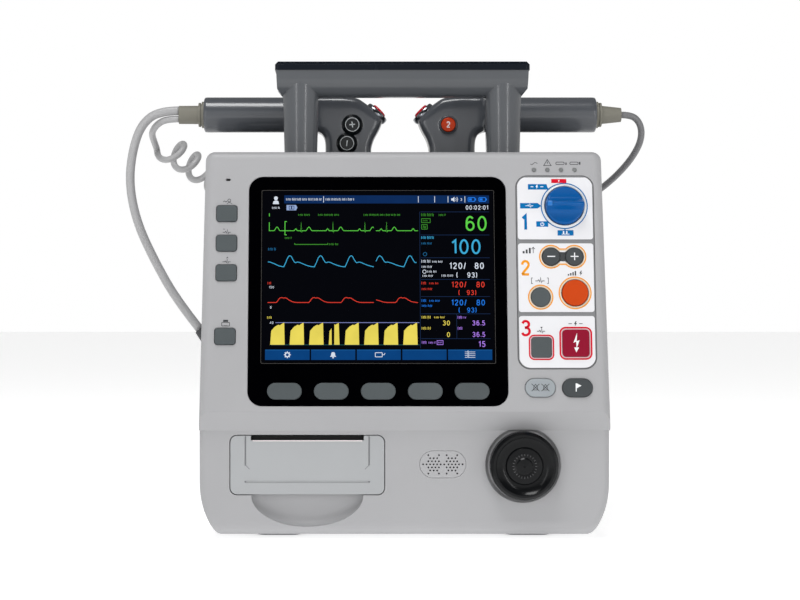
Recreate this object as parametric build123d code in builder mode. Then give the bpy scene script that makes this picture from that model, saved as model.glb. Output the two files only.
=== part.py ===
from build123d import *
import os
from math import cos, pi, radians, sin, tan

# A portable defibrillator and monitor, standing on its feet. Millimetres.
# +X is the operator's right, the front faces -Y, +Z is up, and the floor is z = 0.

# Housing
HALF_WIDTH = 150.5          # at the widest, just below the step
TOP_HALF_WIDTH = 147.5
BODY_BOTTOM = 3.0           # the feet hold it this far off the floor
BODY_TOP = 286.0
STEP_Y = -101.0             # lower edge of the tilted panel, the front-most line
STEP_Z = 94.0
LOWER_Y = -94.0             # upright lower panel, set back below the step
LOWER_TOP = 80.0
REAR_Y = 88.0
TILT = 9.0                  # degrees that the display panel leans back
WALL = 3.5
SEAM_Y = -42.0              # where the front and rear housings meet
SEAM_GAP = 0.3
EDGE_ROUND = 7.0
FOOT_ROUND = 11.0           # how far the lower panel curves under at the floor

# Planes that the controls are placed on: x across, y up the face, z outwards
PANEL = Plane(
    origin=(0, STEP_Y, STEP_Z),
    x_dir=(1, 0, 0),
    z_dir=(0, -cos(radians(TILT)), sin(radians(TILT))),
)
LOWER = Plane(origin=(0, LOWER_Y, 0), x_dir=(1, 0, 0), z_dir=(0, -1, 0))
REAR = Plane(origin=(0, REAR_Y, 0), x_dir=(-1, 0, 0), z_dir=(0, 1, 0))

# Display, on the tilted panel
GLASS_CENTRE = (-19.6, 89.6)
GLASS_SIZE = (190.0, 170.6)
GLASS_ROUND = 10.5
GLASS_THICK = 2.0
GLASS_PROUD = 0.3
SCREEN_CENTRE = (-19.3, 100.1)
SCREEN_SIZE = (170.4, 127.8)    # an 8.4 inch 4:3 panel

# Control field with its three white plates, on the tilted panel
FIELD_CENTRE = (111.8, 103.7)
FIELD_LEFT = 90             # keys to the right of this sit in the control field
FIELD_SIZE = (57.0, 143.8)
FIELD_ROUND = 8.5
FIELD_RECESS = 1.2
FIELD_THICK = 1.5
PLATE_THICK = 0.5
PLATES = [(151.1, 46.7), (99.1, 51.2), (51.4, 38.2)]    # height up the panel, height
PLATE_WIDTH = 55.5

# Keys
KEY_GAP = 0.3
KEY_LIP = 1.0
KEY_LIP_THICK = 1.4
LIP_DEPTH = 5.2

# Mode knob
KNOB_AT = (118.7, 152.9)
KNOB_RADIUS = 14.0
KNOB_TOP = 13.0
KNOB_SHAFT = 3.0

# Jog dial
JOG_AT = (86.8, 54.8)
JOG_RADIUS = 24.75
JOG_HEIGHT = 14.0
JOG_WELL_RADIUS = 27.75
JOG_SHAFT = 3.0

# Printer
DOOR_CENTRE = (-71.2, 54.7)
DOOR_SIZE = (112.7, 43.0)
DOOR_ROUND = 5.5
DOOR_GAP = 0.6
DOOR_THICK = 4.0
SCOOP_WIDTH = 82.0
SCOOP_HEIGHT = 23.0
SCOOP_DEPTH = 8.0
SLOT_WIDTH = 82.7
SLOT_HEIGHT = 3.4
ROLL_RADIUS = 18.0
ROLL_WIDTH = 80.0
ROLL_AT = (-50.0, 56.5)     # y, z
PLATEN_RADIUS = 4.5
PLATEN_AT = (-84.5, 68.6)
PLATEN_PIN = 2.0

# Speaker grille
GRILLE_AT = (28.0, 55.2)
GRILLE_SIZE = (34.0, 20.0)
STAR_SPACING = 13.4
HOLE_PITCH = 2.58
HOLE_RADIUS = 0.65

# Carrying handle
HANDLE_Y = -27.0
HANDLE_DEPTH = 27.0
HANDLE_HALF = 97.0
HANDLE_LOW = 331.0
HANDLE_TOP = 357.0
CAP_THICK = 6.5
POST_X = 77.5

# Paddles
GRIP_Y = 30.0
GRIP_Z = 323.0
GRIP_RADIUS = 14.0
GRIP_END = 156.0
GLAND_END = 176.0
BASE_CENTRE = 75.0
BASE_SIZE = (106.0, 72.0)
BASE_BOTTOM = 252.0
BASE_TOP = 276.0
WELL_FLOOR = 243.5
WELL_SIZE = (112.0, 78.0)
WELL_ROUND = 17.0

# Batteries
BATTERY_SIZE = (66.0, 80.0, 32.0)
BATTERY_X = 45.0
BATTERY_Z = 37.0

# Cords
TRUNK_DIAMETER = 7.0
LINK_DIAMETER = 5.3
COIL_DIAMETER = 24.5
CLIP_Y = 102.0
CLIP_Z = 206.0
CLIP_OUTER_Y = 108.0

TRUNK_ROUTE = [
    (-176, 30, 326.3), (-192, 30, 326.3), (-206.5, 32, 315.5), (-214, 35, 294),
    (-216.5, 36, 268), (-210.5, 36, 238), (-196.5, 36, 207.5), (-178.5, 36, 175.5),
    (-160, 36, 152.2),
]
LINK_LEFT_ROUTE = [
    (-176, 30, 319.7), (-186, 30, 319.7), (-194, 34.5, 316), (-199, 46, 311.5),
    (-200.5, 60, 309), (-200.3, 71.5, 305.8), (-199.2, 81.5, 300.8),
]
COIL_ROUTE = [
    (-189.7, 74.3, 301.7), (-180, 84.5, 294.5), (-169.5, 95.5, 286.8), (-159, 104, 279.5),
    (-142, 108, 269), (-120, 109, 257), (-92, 108, 240), (-63, 105, 220),
    (-34, CLIP_Y, CLIP_Z), (-8, CLIP_Y, CLIP_Z),
]
LINK_RIGHT_ROUTE = [
    (-8, CLIP_Y, CLIP_Z), (19, CLIP_Y, CLIP_Z), (46, 103.5, 211), (82, 104.5, 224),
    (118, 105, 241), (152, 103, 256), (171, 76, 270), (184, 52, 284.5), (191.5, 38, 298),
    (193.5, 33, 308.5), (191, 30.5, 317.5), (184.5, 30, 323), (176, 30, 323),
]

# Therapy plug, in a recess of the left side
PLUG_CENTRE = (-146.5, 36.0, 136.0)
PLUG_RADIUS = 15.0
RECESS_FLOOR = -136.0

os.makedirs("parts", exist_ok=True)


def save(part, name):
    """Labels a finished sub-part and writes it under that name."""
    part.label = name
    export_step(part, f"parts/{name}.step")


def box_between(low, high, mode=Mode.ADD):
    """Adds or cuts the box between two corners."""
    size = [b - a for a, b in zip(low, high)]
    centre = tuple((a + b) / 2 for a, b in zip(low, high))
    with Locations(centre):
        Box(*size, mode=mode)


def outermost(builder, plane):
    """The face of a part that stands furthest out from a plane."""
    return max(builder.faces(), key=lambda face: plane.to_local_coords(face.center()).Z)


def round_key(diameter):
    """A round key's outline, as a function of how much wider to draw it."""
    return lambda grow: Circle(diameter / 2 + grow)


def pill_key(width, height):
    return lambda grow: SlotOverall(width + 2 * grow, height + 2 * grow)


def square_key(width, height, corner):
    return lambda grow: RectangleRounded(width + 2 * grow, height + 2 * grow, corner + grow)


# Every front key: its outline, where it is on the tilted panel, and how proud it stands
SOFT_KEY_X = [-87.8, -53.6, -19.3, 15.0, 49.1]
SIDE_KEY_AT = [(-131.1, 147.3), (-131.1, 125.0), (-131.1, 102.8), (-131.6, 55.5)]
KEYS = {}
for number, x in enumerate(SOFT_KEY_X, 1):
    KEYS[f"soft_key_{number}"] = (pill_key(25.4, 12.2), (x, 15.1), 1.6)
for number, at in enumerate(SIDE_KEY_AT, 1):
    KEYS[f"side_key_{number}"] = (square_key(15.3, 12.2, 2.2), at, 1.4)
KEYS["energy_down_key"] = (round_key(13.0), (108.3, 114.7), 2.2)
KEYS["energy_up_key"] = (round_key(13.0), (125.5, 114.7), 2.2)
KEYS["analyze_key"] = (round_key(14.2), (100.2, 84.5), 2.4)
KEYS["charge_key"] = (round_key(19.2), (125.5, 87.7), 2.6)
KEYS["sync_key"] = (square_key(14.8, 15.0, 2.6), (100.2, 47.3), 2.4)
KEYS["shock_key"] = (square_key(19.7, 20.0, 3.0), (125.4, 50.3), 2.6)
KEYS["alarm_key"] = (pill_key(22.0, 13.4), (98.9, 17.6), 1.6)
KEYS["event_key"] = (pill_key(22.0, 13.4), (126.0, 17.6), 1.6)

FOOT_AT = [(x, y) for x in (-93.0, 93.0) for y in (-58.0, 60.0)]
LED_AT = [(96.8, 180.4), (106.8, 180.4), (116.9, 180.4), (127.0, 180.4)]
LED_RADIUS = 1.5
MICROPHONE_AT = (-130.3, 172.9)


def face_y(z):
    """How far forward the tilted panel is at a height."""
    return STEP_Y + (z - STEP_Z) * tan(radians(TILT))


def outline(inset):
    """The housing's outline from the front, as a face on Plane.XZ."""
    rise, radius_x, radius_z, centre_z = 39.0, 30.0, 46.7, 42.0
    half, top_half = HALF_WIDTH - inset, TOP_HALF_WIDTH - inset
    foot_x = HALF_WIDTH - radius_x * (1 - (1 - (rise / radius_z) ** 2) ** 0.5) - inset
    low, high = BODY_BOTTOM + inset, BODY_TOP - inset
    with BuildSketch(Plane.XZ) as sketch:
        with BuildLine():
            for side in (-1, 1):
                Spline(
                    (side * foot_x, low),
                    (side * (half - 6.2), low + 10.6),
                    (side * half, centre_z),
                    tangents=[(side * 1, 1), (0, 1)],
                )
                Line((side * half, centre_z), (side * half, LOWER_TOP))
                Line((side * half, LOWER_TOP), (side * top_half, high))
            Line((-foot_x, low), (foot_x, low))
            Line((-top_half, high), (top_half, high))
        make_face()
    return sketch.sketch


def upper_profile(inset):
    """Side profile of the tilted upper block."""
    with BuildSketch(Plane.YZ) as sketch:
        with BuildLine():
            Polyline(
                (face_y(BODY_TOP - inset) + inset / cos(radians(TILT)), BODY_TOP - inset),
                (face_y(STEP_Z - inset * 0.4) + inset / cos(radians(TILT)), STEP_Z - inset * 0.4),
                (LOWER_Y + inset, LOWER_TOP - inset * 0.3),
                (REAR_Y - inset, LOWER_TOP - inset * 0.3),
                (REAR_Y - inset, BODY_TOP - inset),
                close=True,
            )
        make_face()
    return sketch.sketch


def lower_profile(inset):
    """Side profile of the upright lower block, with its front foot rounded under."""
    with BuildSketch(Plane.YZ) as sketch:
        with BuildLine():
            Polyline(
                (LOWER_Y + inset, LOWER_TOP + 8),
                (LOWER_Y + inset, BODY_BOTTOM + inset),
                (REAR_Y - inset, BODY_BOTTOM + inset),
                (REAR_Y - inset, LOWER_TOP + 8),
                close=True,
            )
        make_face()
        low_front = sketch.vertices().sort_by(Axis.X)[:2].sort_by(Axis.Y)[0]
        fillet(low_front, radius=FOOT_ROUND - inset)
    return sketch.sketch


def block(profile, inset, rounded):
    """One block of the housing: its side profile across the full width, cut to the front outline."""
    with BuildPart() as solid:
        extrude(profile(inset), amount=HALF_WIDTH + 5, both=True)
        extrude(outline(inset), amount=120, both=True, mode=Mode.INTERSECT)
        if rounded == "upper":
            high = [e for e in solid.edges() if abs(e.center().X) > 140 or e.center().Z > BODY_TOP - 0.1]
            keep = [e for e in high if e.center().Z > STEP_Z and e.length > 100]
            fillet(keep, radius=EDGE_ROUND)
        if rounded == "lower":
            front = [
                e for e in solid.edges()
                if abs(e.center().X) > 130 and abs(e.center().Y - LOWER_Y) < 0.5 and e.length > 20
            ]
            fillet(front, radius=EDGE_ROUND - 1)
    return solid.part


# The outer shape and the hollow, each made once and shared by both housings
outer_upper = block(upper_profile, 0, "upper")
outer_lower = block(lower_profile, 0, "lower")
hollow_upper = block(upper_profile, WALL, None)
hollow_lower = block(lower_profile, WALL, None)

FRONT_SIDE = Plane(origin=(0, SEAM_Y - SEAM_GAP / 2, 0), z_dir=(0, -1, 0))
REAR_SIDE = Plane(origin=(0, SEAM_Y + SEAM_GAP / 2, 0), z_dir=(0, 1, 0))


def scoop(plane, grow):
    """The outline of the finger scoop under the printer door, on a plane of the lower panel."""
    top = 32.6
    with BuildSketch(plane) as sketch:
        with Locations((DOOR_CENTRE[0], top)):
            Ellipse(SCOOP_WIDTH / 2 + grow, SCOOP_HEIGHT + grow)
        with Locations((DOOR_CENTRE[0], top - 50)):
            Rectangle(200, 100, mode=Mode.INTERSECT)
    return sketch.sketch


outer = outer_upper + outer_lower

# The hollow that the scoop makes: its floor runs up into the walls in a wide round
with BuildPart() as scoop_hollow:
    extrude(scoop(LOWER.offset(2), 0), amount=-SCOOP_DEPTH - 2)
    scoop_floor = LOWER_Y + SCOOP_DEPTH
    at_floor = [e for e in scoop_hollow.edges() if abs(e.center().Y - scoop_floor) < 0.01]
    floor_edges = [e for e in at_floor if e.center().Z < 32]
    fillet(floor_edges, radius=7)

# Front housing: display frame, key field, printer bay, dial well and speaker window
with BuildPart() as front_housing:
    add(outer)
    add(hollow_upper, mode=Mode.SUBTRACT)
    add(hollow_lower, mode=Mode.SUBTRACT)
    extrude(scoop(LOWER.offset(-SCOOP_DEPTH - WALL), WALL), amount=SCOOP_DEPTH + WALL - 1)
    with BuildSketch(LOWER):
        with Locations(JOG_AT):
            Circle(JOG_WELL_RADIUS + 3)
    extrude(amount=-8)
    add(outer, mode=Mode.INTERSECT)
    split(bisect_by=FRONT_SIDE, keep=Keep.TOP)
    add(scoop_hollow.part, mode=Mode.SUBTRACT)
    with BuildSketch(LOWER):
        with Locations(DOOR_CENTRE):
            RectangleRounded(DOOR_SIZE[0] + 2 * DOOR_GAP, DOOR_SIZE[1] + 2 * DOOR_GAP, DOOR_ROUND)
    extrude(amount=-20, mode=Mode.SUBTRACT)
    with BuildSketch(LOWER):
        with Locations(JOG_AT):
            Circle(JOG_WELL_RADIUS)
    extrude(amount=-3, taper=35, mode=Mode.SUBTRACT)
    with BuildSketch(LOWER):
        with Locations(JOG_AT):
            Circle(JOG_SHAFT + 0.05)
        with Locations(GRILLE_AT):
            SlotOverall(GRILLE_SIZE[0], GRILLE_SIZE[1])
    extrude(amount=-20, mode=Mode.SUBTRACT)
    with BuildSketch(PANEL.offset(GLASS_PROUD - GLASS_THICK - 0.1)):
        with Locations(GLASS_CENTRE):
            RectangleRounded(GLASS_SIZE[0] + 0.6, GLASS_SIZE[1] + 0.6, GLASS_ROUND + 0.3)
    extrude(amount=10, mode=Mode.SUBTRACT)
    with BuildSketch(PANEL.offset(-FIELD_RECESS)):
        with Locations(FIELD_CENTRE):
            RectangleRounded(FIELD_SIZE[0] + 1, FIELD_SIZE[1] + 1, FIELD_ROUND + 0.5)
    extrude(amount=10, mode=Mode.SUBTRACT)
    with BuildSketch(PANEL.offset(-12)):
        with Locations(SCREEN_CENTRE):
            Rectangle(SCREEN_SIZE[0] + 4, SCREEN_SIZE[1] + 4)
        for shape, at, proud in KEYS.values():
            with Locations(at):
                shape(KEY_GAP)
        with Locations(*LED_AT):
            Circle(LED_RADIUS + 0.1)
        with Locations(MICROPHONE_AT):
            SlotOverall(3.5, 1.9)
        with Locations(KNOB_AT):
            Circle(KNOB_SHAFT + 0.05)
    extrude(amount=24, mode=Mode.SUBTRACT)
    with BuildSketch(Plane.XY.offset(BODY_BOTTOM)):
        with Locations(*FOOT_AT):
            SlotOverall(30, 12)
    extrude(amount=1.2, mode=Mode.SUBTRACT)
save(front_housing.part, "front_housing")

BOSS_AT = [(x, z) for x in (-135.0, 135.0) for z in (28.0, 120.0, 228.0)]
BOSS_LENGTH = 15.0
SCREW_HEAD = 4.0
SCREW_SHANK = 2.0
VENT_X = [10.0 * n for n in range(-5, 6)]
INLET_AT = (112.0, 50.0)    # on the rear plane, whose x runs the other way
PANEL_Y = (-20.0, 66.0)
PANEL_Z = (70.0, 212.0)
PANEL_FLOOR = 139.0
RECESS_Y = (6.0, 70.0)
RECESS_Z = (98.0, 176.0)

# Rear housing: paddle wells, battery bays, connector recesses, vents and the cord clip
with BuildPart() as rear_housing:
    add(outer)
    add(hollow_upper, mode=Mode.SUBTRACT)
    add(hollow_lower, mode=Mode.SUBTRACT)
    for side in (-1, 1):
        with BuildSketch(Plane.XY.offset(WELL_FLOOR - 3)):
            with Locations((side * BASE_CENTRE, GRIP_Y)):
                RectangleRounded(WELL_SIZE[0] + 6, WELL_SIZE[1] + 6, WELL_ROUND + 3)
        extrude(amount=BODY_TOP - WELL_FLOOR + 1)
        box_between(
            (side * BATTERY_X - 36, REAR_Y - BATTERY_SIZE[1] - 6, BATTERY_Z - 19),
            (side * BATTERY_X + 36, REAR_Y - 1, BATTERY_Z + 19),
        )
    box_between(
        (-HALF_WIDTH + 1, RECESS_Y[0] - 3, RECESS_Z[0] - 3),
        (RECESS_FLOOR + 3, RECESS_Y[1] + 3, RECESS_Z[1] + 3),
    )
    box_between(
        (PANEL_FLOOR - 3, PANEL_Y[0] - 3, PANEL_Z[0] - 3),
        (HALF_WIDTH - 2.5, PANEL_Y[1] + 3, PANEL_Z[1] + 3),
    )
    with BuildSketch(REAR.offset(-1)):
        with Locations(*[(-x, z) for x, z in BOSS_AT]):
            Circle(6.5)
    extrude(amount=1 - BOSS_LENGTH)
    split(bisect_by=REAR_SIDE, keep=Keep.TOP)
    for side in (-1, 1):
        with BuildSketch(Plane.XY.offset(WELL_FLOOR)):
            with Locations((side * BASE_CENTRE, GRIP_Y)):
                RectangleRounded(WELL_SIZE[0], WELL_SIZE[1], WELL_ROUND)
        extrude(amount=60, mode=Mode.SUBTRACT)
        box_between(
            (side * BATTERY_X - 33.4, REAR_Y - BATTERY_SIZE[1] - 0.5, BATTERY_Z - 16.4),
            (side * BATTERY_X + 33.4, REAR_Y + 5, BATTERY_Z + 16.4),
            mode=Mode.SUBTRACT,
        )
    box_between(
        (-HALF_WIDTH - 5, RECESS_Y[0], RECESS_Z[0]),
        (RECESS_FLOOR, RECESS_Y[1], RECESS_Z[1]),
        mode=Mode.SUBTRACT,
    )
    box_between(
        (PANEL_FLOOR, PANEL_Y[0], PANEL_Z[0]),
        (HALF_WIDTH + 5, PANEL_Y[1], PANEL_Z[1]),
        mode=Mode.SUBTRACT,
    )
    with BuildSketch(REAR):
        with Locations(*[(-x, z) for x, z in BOSS_AT]):
            Circle(SCREW_HEAD + 0.4)
    extrude(amount=-3.6, mode=Mode.SUBTRACT)
    with BuildSketch(REAR):
        with Locations(*[(-x, z) for x, z in BOSS_AT]):
            Circle(SCREW_SHANK + 0.2)
        with Locations(*[(x, 140) for x in VENT_X]):
            SlotOverall(60, 3, rotation=90)
        with Locations(INLET_AT):
            Rectangle(27.6, 20.4)
    extrude(amount=-30, mode=Mode.SUBTRACT)
    box_between((-6, REAR_Y - 1, CLIP_Z - 8), (6, CLIP_OUTER_Y, CLIP_Z + 7))
    with BuildSketch(Plane.YZ.offset(-8)):
        with Locations((CLIP_Y, CLIP_Z)):
            Circle(LINK_DIAMETER / 2 + 0.3)
        with Locations((CLIP_Y, CLIP_Z + 6)):
            Rectangle(4.4, 12)
    extrude(amount=16, mode=Mode.SUBTRACT)
    with BuildSketch(Plane.XY.offset(BODY_BOTTOM)):
        with Locations(*FOOT_AT):
            SlotOverall(30, 12)
    extrude(amount=1.2, mode=Mode.SUBTRACT)
save(rear_housing.part, "rear_housing")

# Feet: four rubber pads let into the underside
with BuildPart() as feet:
    for at in FOOT_AT:
        with BuildSketch(Plane.XY.offset(BODY_BOTTOM)):
            with Locations(at):
                SlotOverall(29.6, 11.6)
        extrude(amount=1.1)
        with BuildSketch(Plane.XY.offset(BODY_BOTTOM)):
            with Locations(at):
                SlotOverall(36, 16)
        extrude(amount=-BODY_BOTTOM, taper=30)
save(feet.part, "feet")

# Housing screws, in their rear counterbores
with BuildPart() as housing_screws:
    with BuildSketch(REAR.offset(-3.4)):
        with Locations(*[(-x, z) for x, z in BOSS_AT]):
            Circle(SCREW_HEAD)
    extrude(amount=2.6)
    with BuildSketch(REAR.offset(-0.8)):
        with Locations(*[(-x, z) for x, z in BOSS_AT]):
            RegularPolygon(1.6, 6)
    extrude(amount=-1.6, mode=Mode.SUBTRACT)
    with BuildSketch(REAR.offset(-3.4)):
        with Locations(*[(-x, z) for x, z in BOSS_AT]):
            Circle(SCREW_SHANK)
    extrude(amount=-16)
save(housing_screws.part, "housing_screws")


def post_section(x, z, half):
    """A handle post's section at a height: a round front and a flat back."""
    front, back = HANDLE_Y - HANDLE_DEPTH / 2 + 0.5, HANDLE_Y + HANDLE_DEPTH / 2 - 1
    with BuildSketch(Plane.XY.offset(z)) as sketch:
        with BuildLine():
            ThreePointArc((x - half, front + 8.6), (x, front), (x + half, front + 8.6))
            Polyline(
                (x + half, front + 8.6), (x + half, back - 4), (x + half * 0.7, back), (x - half * 0.7, back),
                (x - half, back - 4), (x - half, front + 8.6),
            )
        make_face()
    return sketch.sketch


# Carrying handle: a bar rounded underneath, on two round-fronted posts
with BuildPart() as handle:
    for side in (-1, 1):
        foot = post_section(side * POST_X, BODY_TOP, 12.4)
        head = post_section(side * POST_X, HANDLE_LOW + 12, 13.8)
        loft(sections=[foot, head])
    front, back = HANDLE_Y - HANDLE_DEPTH / 2, HANDLE_Y + HANDLE_DEPTH / 2
    with BuildSketch(Plane.YZ.offset(-HANDLE_HALF)):
        with BuildLine():
            top = HANDLE_TOP - CAP_THICK
            Polyline((back, HANDLE_LOW + 11), (back, top), (front, top), (front, HANDLE_LOW + 13))
            ThreePointArc(
                (front, HANDLE_LOW + 13),
                (front + 4.0, HANDLE_LOW + 4.4),
                (front + 13, HANDLE_LOW),
            )
            Line((front + 13, HANDLE_LOW), (back - 8, HANDLE_LOW))
            ThreePointArc((back - 8, HANDLE_LOW), (back - 2.2, HANDLE_LOW + 3.4), (back, HANDLE_LOW + 11))
        make_face()
    extrude(amount=2 * HANDLE_HALF)
    with BuildSketch(Plane.XZ):
        with BuildLine():
            Polyline(
                (-HANDLE_HALF + 0.6, HANDLE_TOP), (-HANDLE_HALF + 1.6, HANDLE_LOW + 5.5),
                (-HANDLE_HALF + 6, HANDLE_LOW), (-HANDLE_HALF + 6, 0), (HANDLE_HALF - 6, 0),
                (HANDLE_HALF - 6, HANDLE_LOW), (HANDLE_HALF - 1.6, HANDLE_LOW + 5.5),
                (HANDLE_HALF - 0.6, HANDLE_TOP),
                close=True,
            )
        make_face()
    extrude(amount=80, both=True, mode=Mode.INTERSECT)
save(handle.part, "handle")

with BuildPart() as handle_cap:
    with BuildSketch(Plane.XY.offset(HANDLE_TOP - CAP_THICK)):
        with Locations((0, HANDLE_Y)):
            RectangleRounded(2 * HANDLE_HALF, HANDLE_DEPTH + 1, 3)
    extrude(amount=CAP_THICK)
    chamfer(handle_cap.faces().sort_by(Axis.Z)[-1].edges(), length=2.2)
save(handle_cap.part, "handle_cap")

# Display glass: a black-bordered front glass with holes for the soft keys
with BuildPart() as display_glass:
    with BuildSketch(PANEL.offset(GLASS_PROUD - GLASS_THICK)):
        with Locations(GLASS_CENTRE):
            RectangleRounded(GLASS_SIZE[0], GLASS_SIZE[1], GLASS_ROUND)
        for x in SOFT_KEY_X:
            with Locations((x, 15.1)):
                SlotOverall(25.4 + 2 * KEY_GAP, 12.2 + 2 * KEY_GAP, mode=Mode.SUBTRACT)
    extrude(amount=GLASS_THICK)
    chamfer(outermost(display_glass, PANEL).edges(), length=0.4)
save(display_glass.part, "display_glass")

with BuildPart() as display_module:
    with BuildSketch(PANEL.offset(-12)):
        with Locations(SCREEN_CENTRE):
            Rectangle(SCREEN_SIZE[0] + 3, SCREEN_SIZE[1] + 3)
    extrude(amount=10)
    with BuildSketch(PANEL.offset(-12)):
        with Locations(SCREEN_CENTRE):
            Rectangle(SCREEN_SIZE[0] - 20, SCREEN_SIZE[1] - 30)
    extrude(amount=-4)
save(display_module.part, "display_module")

# Control field: grey bezel plate with the holes of every key in it, and three white plates
with BuildPart() as control_bezel:
    with BuildSketch(PANEL.offset(-FIELD_RECESS)):
        with Locations(FIELD_CENTRE):
            RectangleRounded(FIELD_SIZE[0], FIELD_SIZE[1], FIELD_ROUND)
    extrude(amount=FIELD_THICK)
    with BuildSketch(PANEL.offset(-FIELD_RECESS)):
        for shape, at, proud in KEYS.values():
            if at[0] > FIELD_LEFT and at[1] > 30:
                with Locations(at):
                    shape(KEY_GAP)
        with Locations(KNOB_AT):
            Circle(KNOB_RADIUS + 0.8)
    extrude(amount=FIELD_THICK, mode=Mode.SUBTRACT)
save(control_bezel.part, "control_bezel")

with BuildPart() as label_plates:
    with BuildSketch(PANEL.offset(FIELD_THICK - FIELD_RECESS)):
        for centre, height in PLATES:
            with Locations((FIELD_CENTRE[0], centre)):
                RectangleRounded(PLATE_WIDTH, height, 2.0)
    extrude(amount=PLATE_THICK)
    with BuildSketch(PANEL.offset(FIELD_THICK - FIELD_RECESS)):
        with Locations(FIELD_CENTRE):
            RectangleRounded(FIELD_SIZE[0] - 1, FIELD_SIZE[1] - 1, FIELD_ROUND)
    extrude(amount=PLATE_THICK, mode=Mode.INTERSECT)
    with BuildSketch(PANEL.offset(FIELD_THICK - FIELD_RECESS)):
        for shape, at, proud in KEYS.values():
            if at[0] > FIELD_LEFT and at[1] > 30:
                with Locations(at):
                    shape(1.0)
        with Locations((116.9, 114.7)):
            Rectangle(17, 7)
        with Locations(KNOB_AT):
            Circle(KNOB_RADIUS + 2.2)
    extrude(amount=PLATE_THICK, mode=Mode.SUBTRACT)
save(label_plates.part, "label_plates")

with BuildPart() as indicator_leds:
    with BuildSketch(PANEL.offset(-5)):
        with Locations(*LED_AT):
            Circle(LED_RADIUS)
    extrude(amount=5.4)
save(indicator_leds.part, "indicator_leds")

# Front keys: a cap in its hole and a lip behind the wall that stops it falling out
for name, (shape, at, proud) in KEYS.items():
    with BuildPart() as key:
        with BuildSketch(PANEL.offset(-LIP_DEPTH)):
            with Locations(at):
                shape(0)
        extrude(amount=LIP_DEPTH + proud)
        fillet(outermost(key, PANEL).edges(), radius=0.9)
        with BuildSketch(PANEL.offset(-LIP_DEPTH)):
            with Locations(at):
                shape(KEY_LIP)
        extrude(amount=KEY_LIP_THICK)
    save(key.part, name)

# Mode knob: a round skirt with a grip ridge across it
with BuildPart() as mode_knob:
    with BuildSketch(PANEL.offset(-0.8)):
        with Locations(KNOB_AT):
            Circle(KNOB_RADIUS)
    extrude(amount=5.3)
    fillet(outermost(mode_knob, PANEL).edges(), radius=1.6)
    with BuildSketch(PANEL.offset(4)):
        with Locations(KNOB_AT):
            SlotOverall(2 * KNOB_RADIUS - 1.6, 9.5)
    extrude(amount=KNOB_TOP - 4, taper=6)
    fillet(outermost(mode_knob, PANEL).edges(), radius=1.5)
    with BuildSketch(PANEL.offset(-10)):
        with Locations(KNOB_AT):
            Circle(KNOB_SHAFT)
    extrude(amount=10)
save(mode_knob.part, "mode_knob")

# Jog dial: a knob that turns on a shaft, and the shaft presses in as a switch
with BuildPart() as jog_shaft:
    with BuildSketch(LOWER.offset(-14)):
        with Locations(JOG_AT):
            Circle(JOG_SHAFT)
    extrude(amount=14 + 9)
    with BuildSketch(LOWER.offset(-14)):
        with Locations(JOG_AT):
            Circle(7)
    extrude(amount=3)
save(jog_shaft.part, "jog_shaft")

with BuildPart() as jog_knob:
    with BuildSketch(Plane(origin=(JOG_AT[0], LOWER_Y, JOG_AT[1]), x_dir=(1, 0, 0), z_dir=(0, 0, -1))):
        with BuildLine():
            Polyline(
                (JOG_SHAFT + 0.05, 0), (JOG_RADIUS - 0.8, 0), (JOG_RADIUS, 0.8),
                (JOG_RADIUS, 11.6), (JOG_RADIUS - 2.0, JOG_HEIGHT), (JOG_RADIUS - 3.6, JOG_HEIGHT),
            )
            ThreePointArc((JOG_RADIUS - 3.6, JOG_HEIGHT), (17.2, 11.3), (13.8, 10.6))
            Polyline((13.8, 10.6), (12.9, 12.4), (8.6, 12.8), (6.2, 12.4), (5.2, 13.2), (0, 13.4), (0, 9.3))
            Polyline((0, 9.3), (JOG_SHAFT + 0.05, 9.3), (JOG_SHAFT + 0.05, 0))
        make_face()
    revolve(axis=Axis((JOG_AT[0], LOWER_Y, JOG_AT[1]), (0, 1, 0)))
save(jog_knob.part, "jog_knob")


def star_holes(centre_x):
    """Hole centres of one six-pointed star: two rings of a hexagonal grid and its six tips."""
    found = []
    for row in range(-3, 4):
        for column in range(-3, 4):
            distance = max(abs(row), abs(column), abs(row + column))
            tip = distance == 3 and 0 in (row, column, row + column)
            if distance <= 2 or tip:
                x = centre_x + HOLE_PITCH * (column + row / 2)
                found.append((round(x, 3), round(GRILLE_AT[1] + HOLE_PITCH * row * sin(pi / 3), 3)))
    return found


with BuildPart() as speaker_grille:
    with BuildSketch(LOWER.offset(-2)):
        with Locations(GRILLE_AT):
            SlotOverall(GRILLE_SIZE[0] - 0.4, GRILLE_SIZE[1] - 0.4)
        left = star_holes(GRILLE_AT[0] - STAR_SPACING / 2)
        right = [(round(2 * GRILLE_AT[0] - x, 3), z) for x, z in left]
        apart = [p for p in right if all(abs(p[0] - q[0]) + abs(p[1] - q[1]) > 1.5 for q in left)]
        with Locations(*(left + apart)):
            Circle(HOLE_RADIUS, mode=Mode.SUBTRACT)
    extrude(amount=2)
save(speaker_grille.part, "speaker_grille")

with BuildPart() as speaker:
    with BuildSketch(LOWER.offset(-6)):
        with Locations(GRILLE_AT):
            Circle(19)
            Circle(15, mode=Mode.SUBTRACT)
    extrude(amount=2)
    with BuildSketch(LOWER.offset(-6)):
        with Locations(GRILLE_AT):
            Circle(19)
    extrude(amount=-8, taper=40)
    with BuildSketch(LOWER.offset(-13.9)):
        with Locations(GRILLE_AT):
            Circle(11)
    extrude(amount=-7)
save(speaker.part, "speaker")

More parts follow.
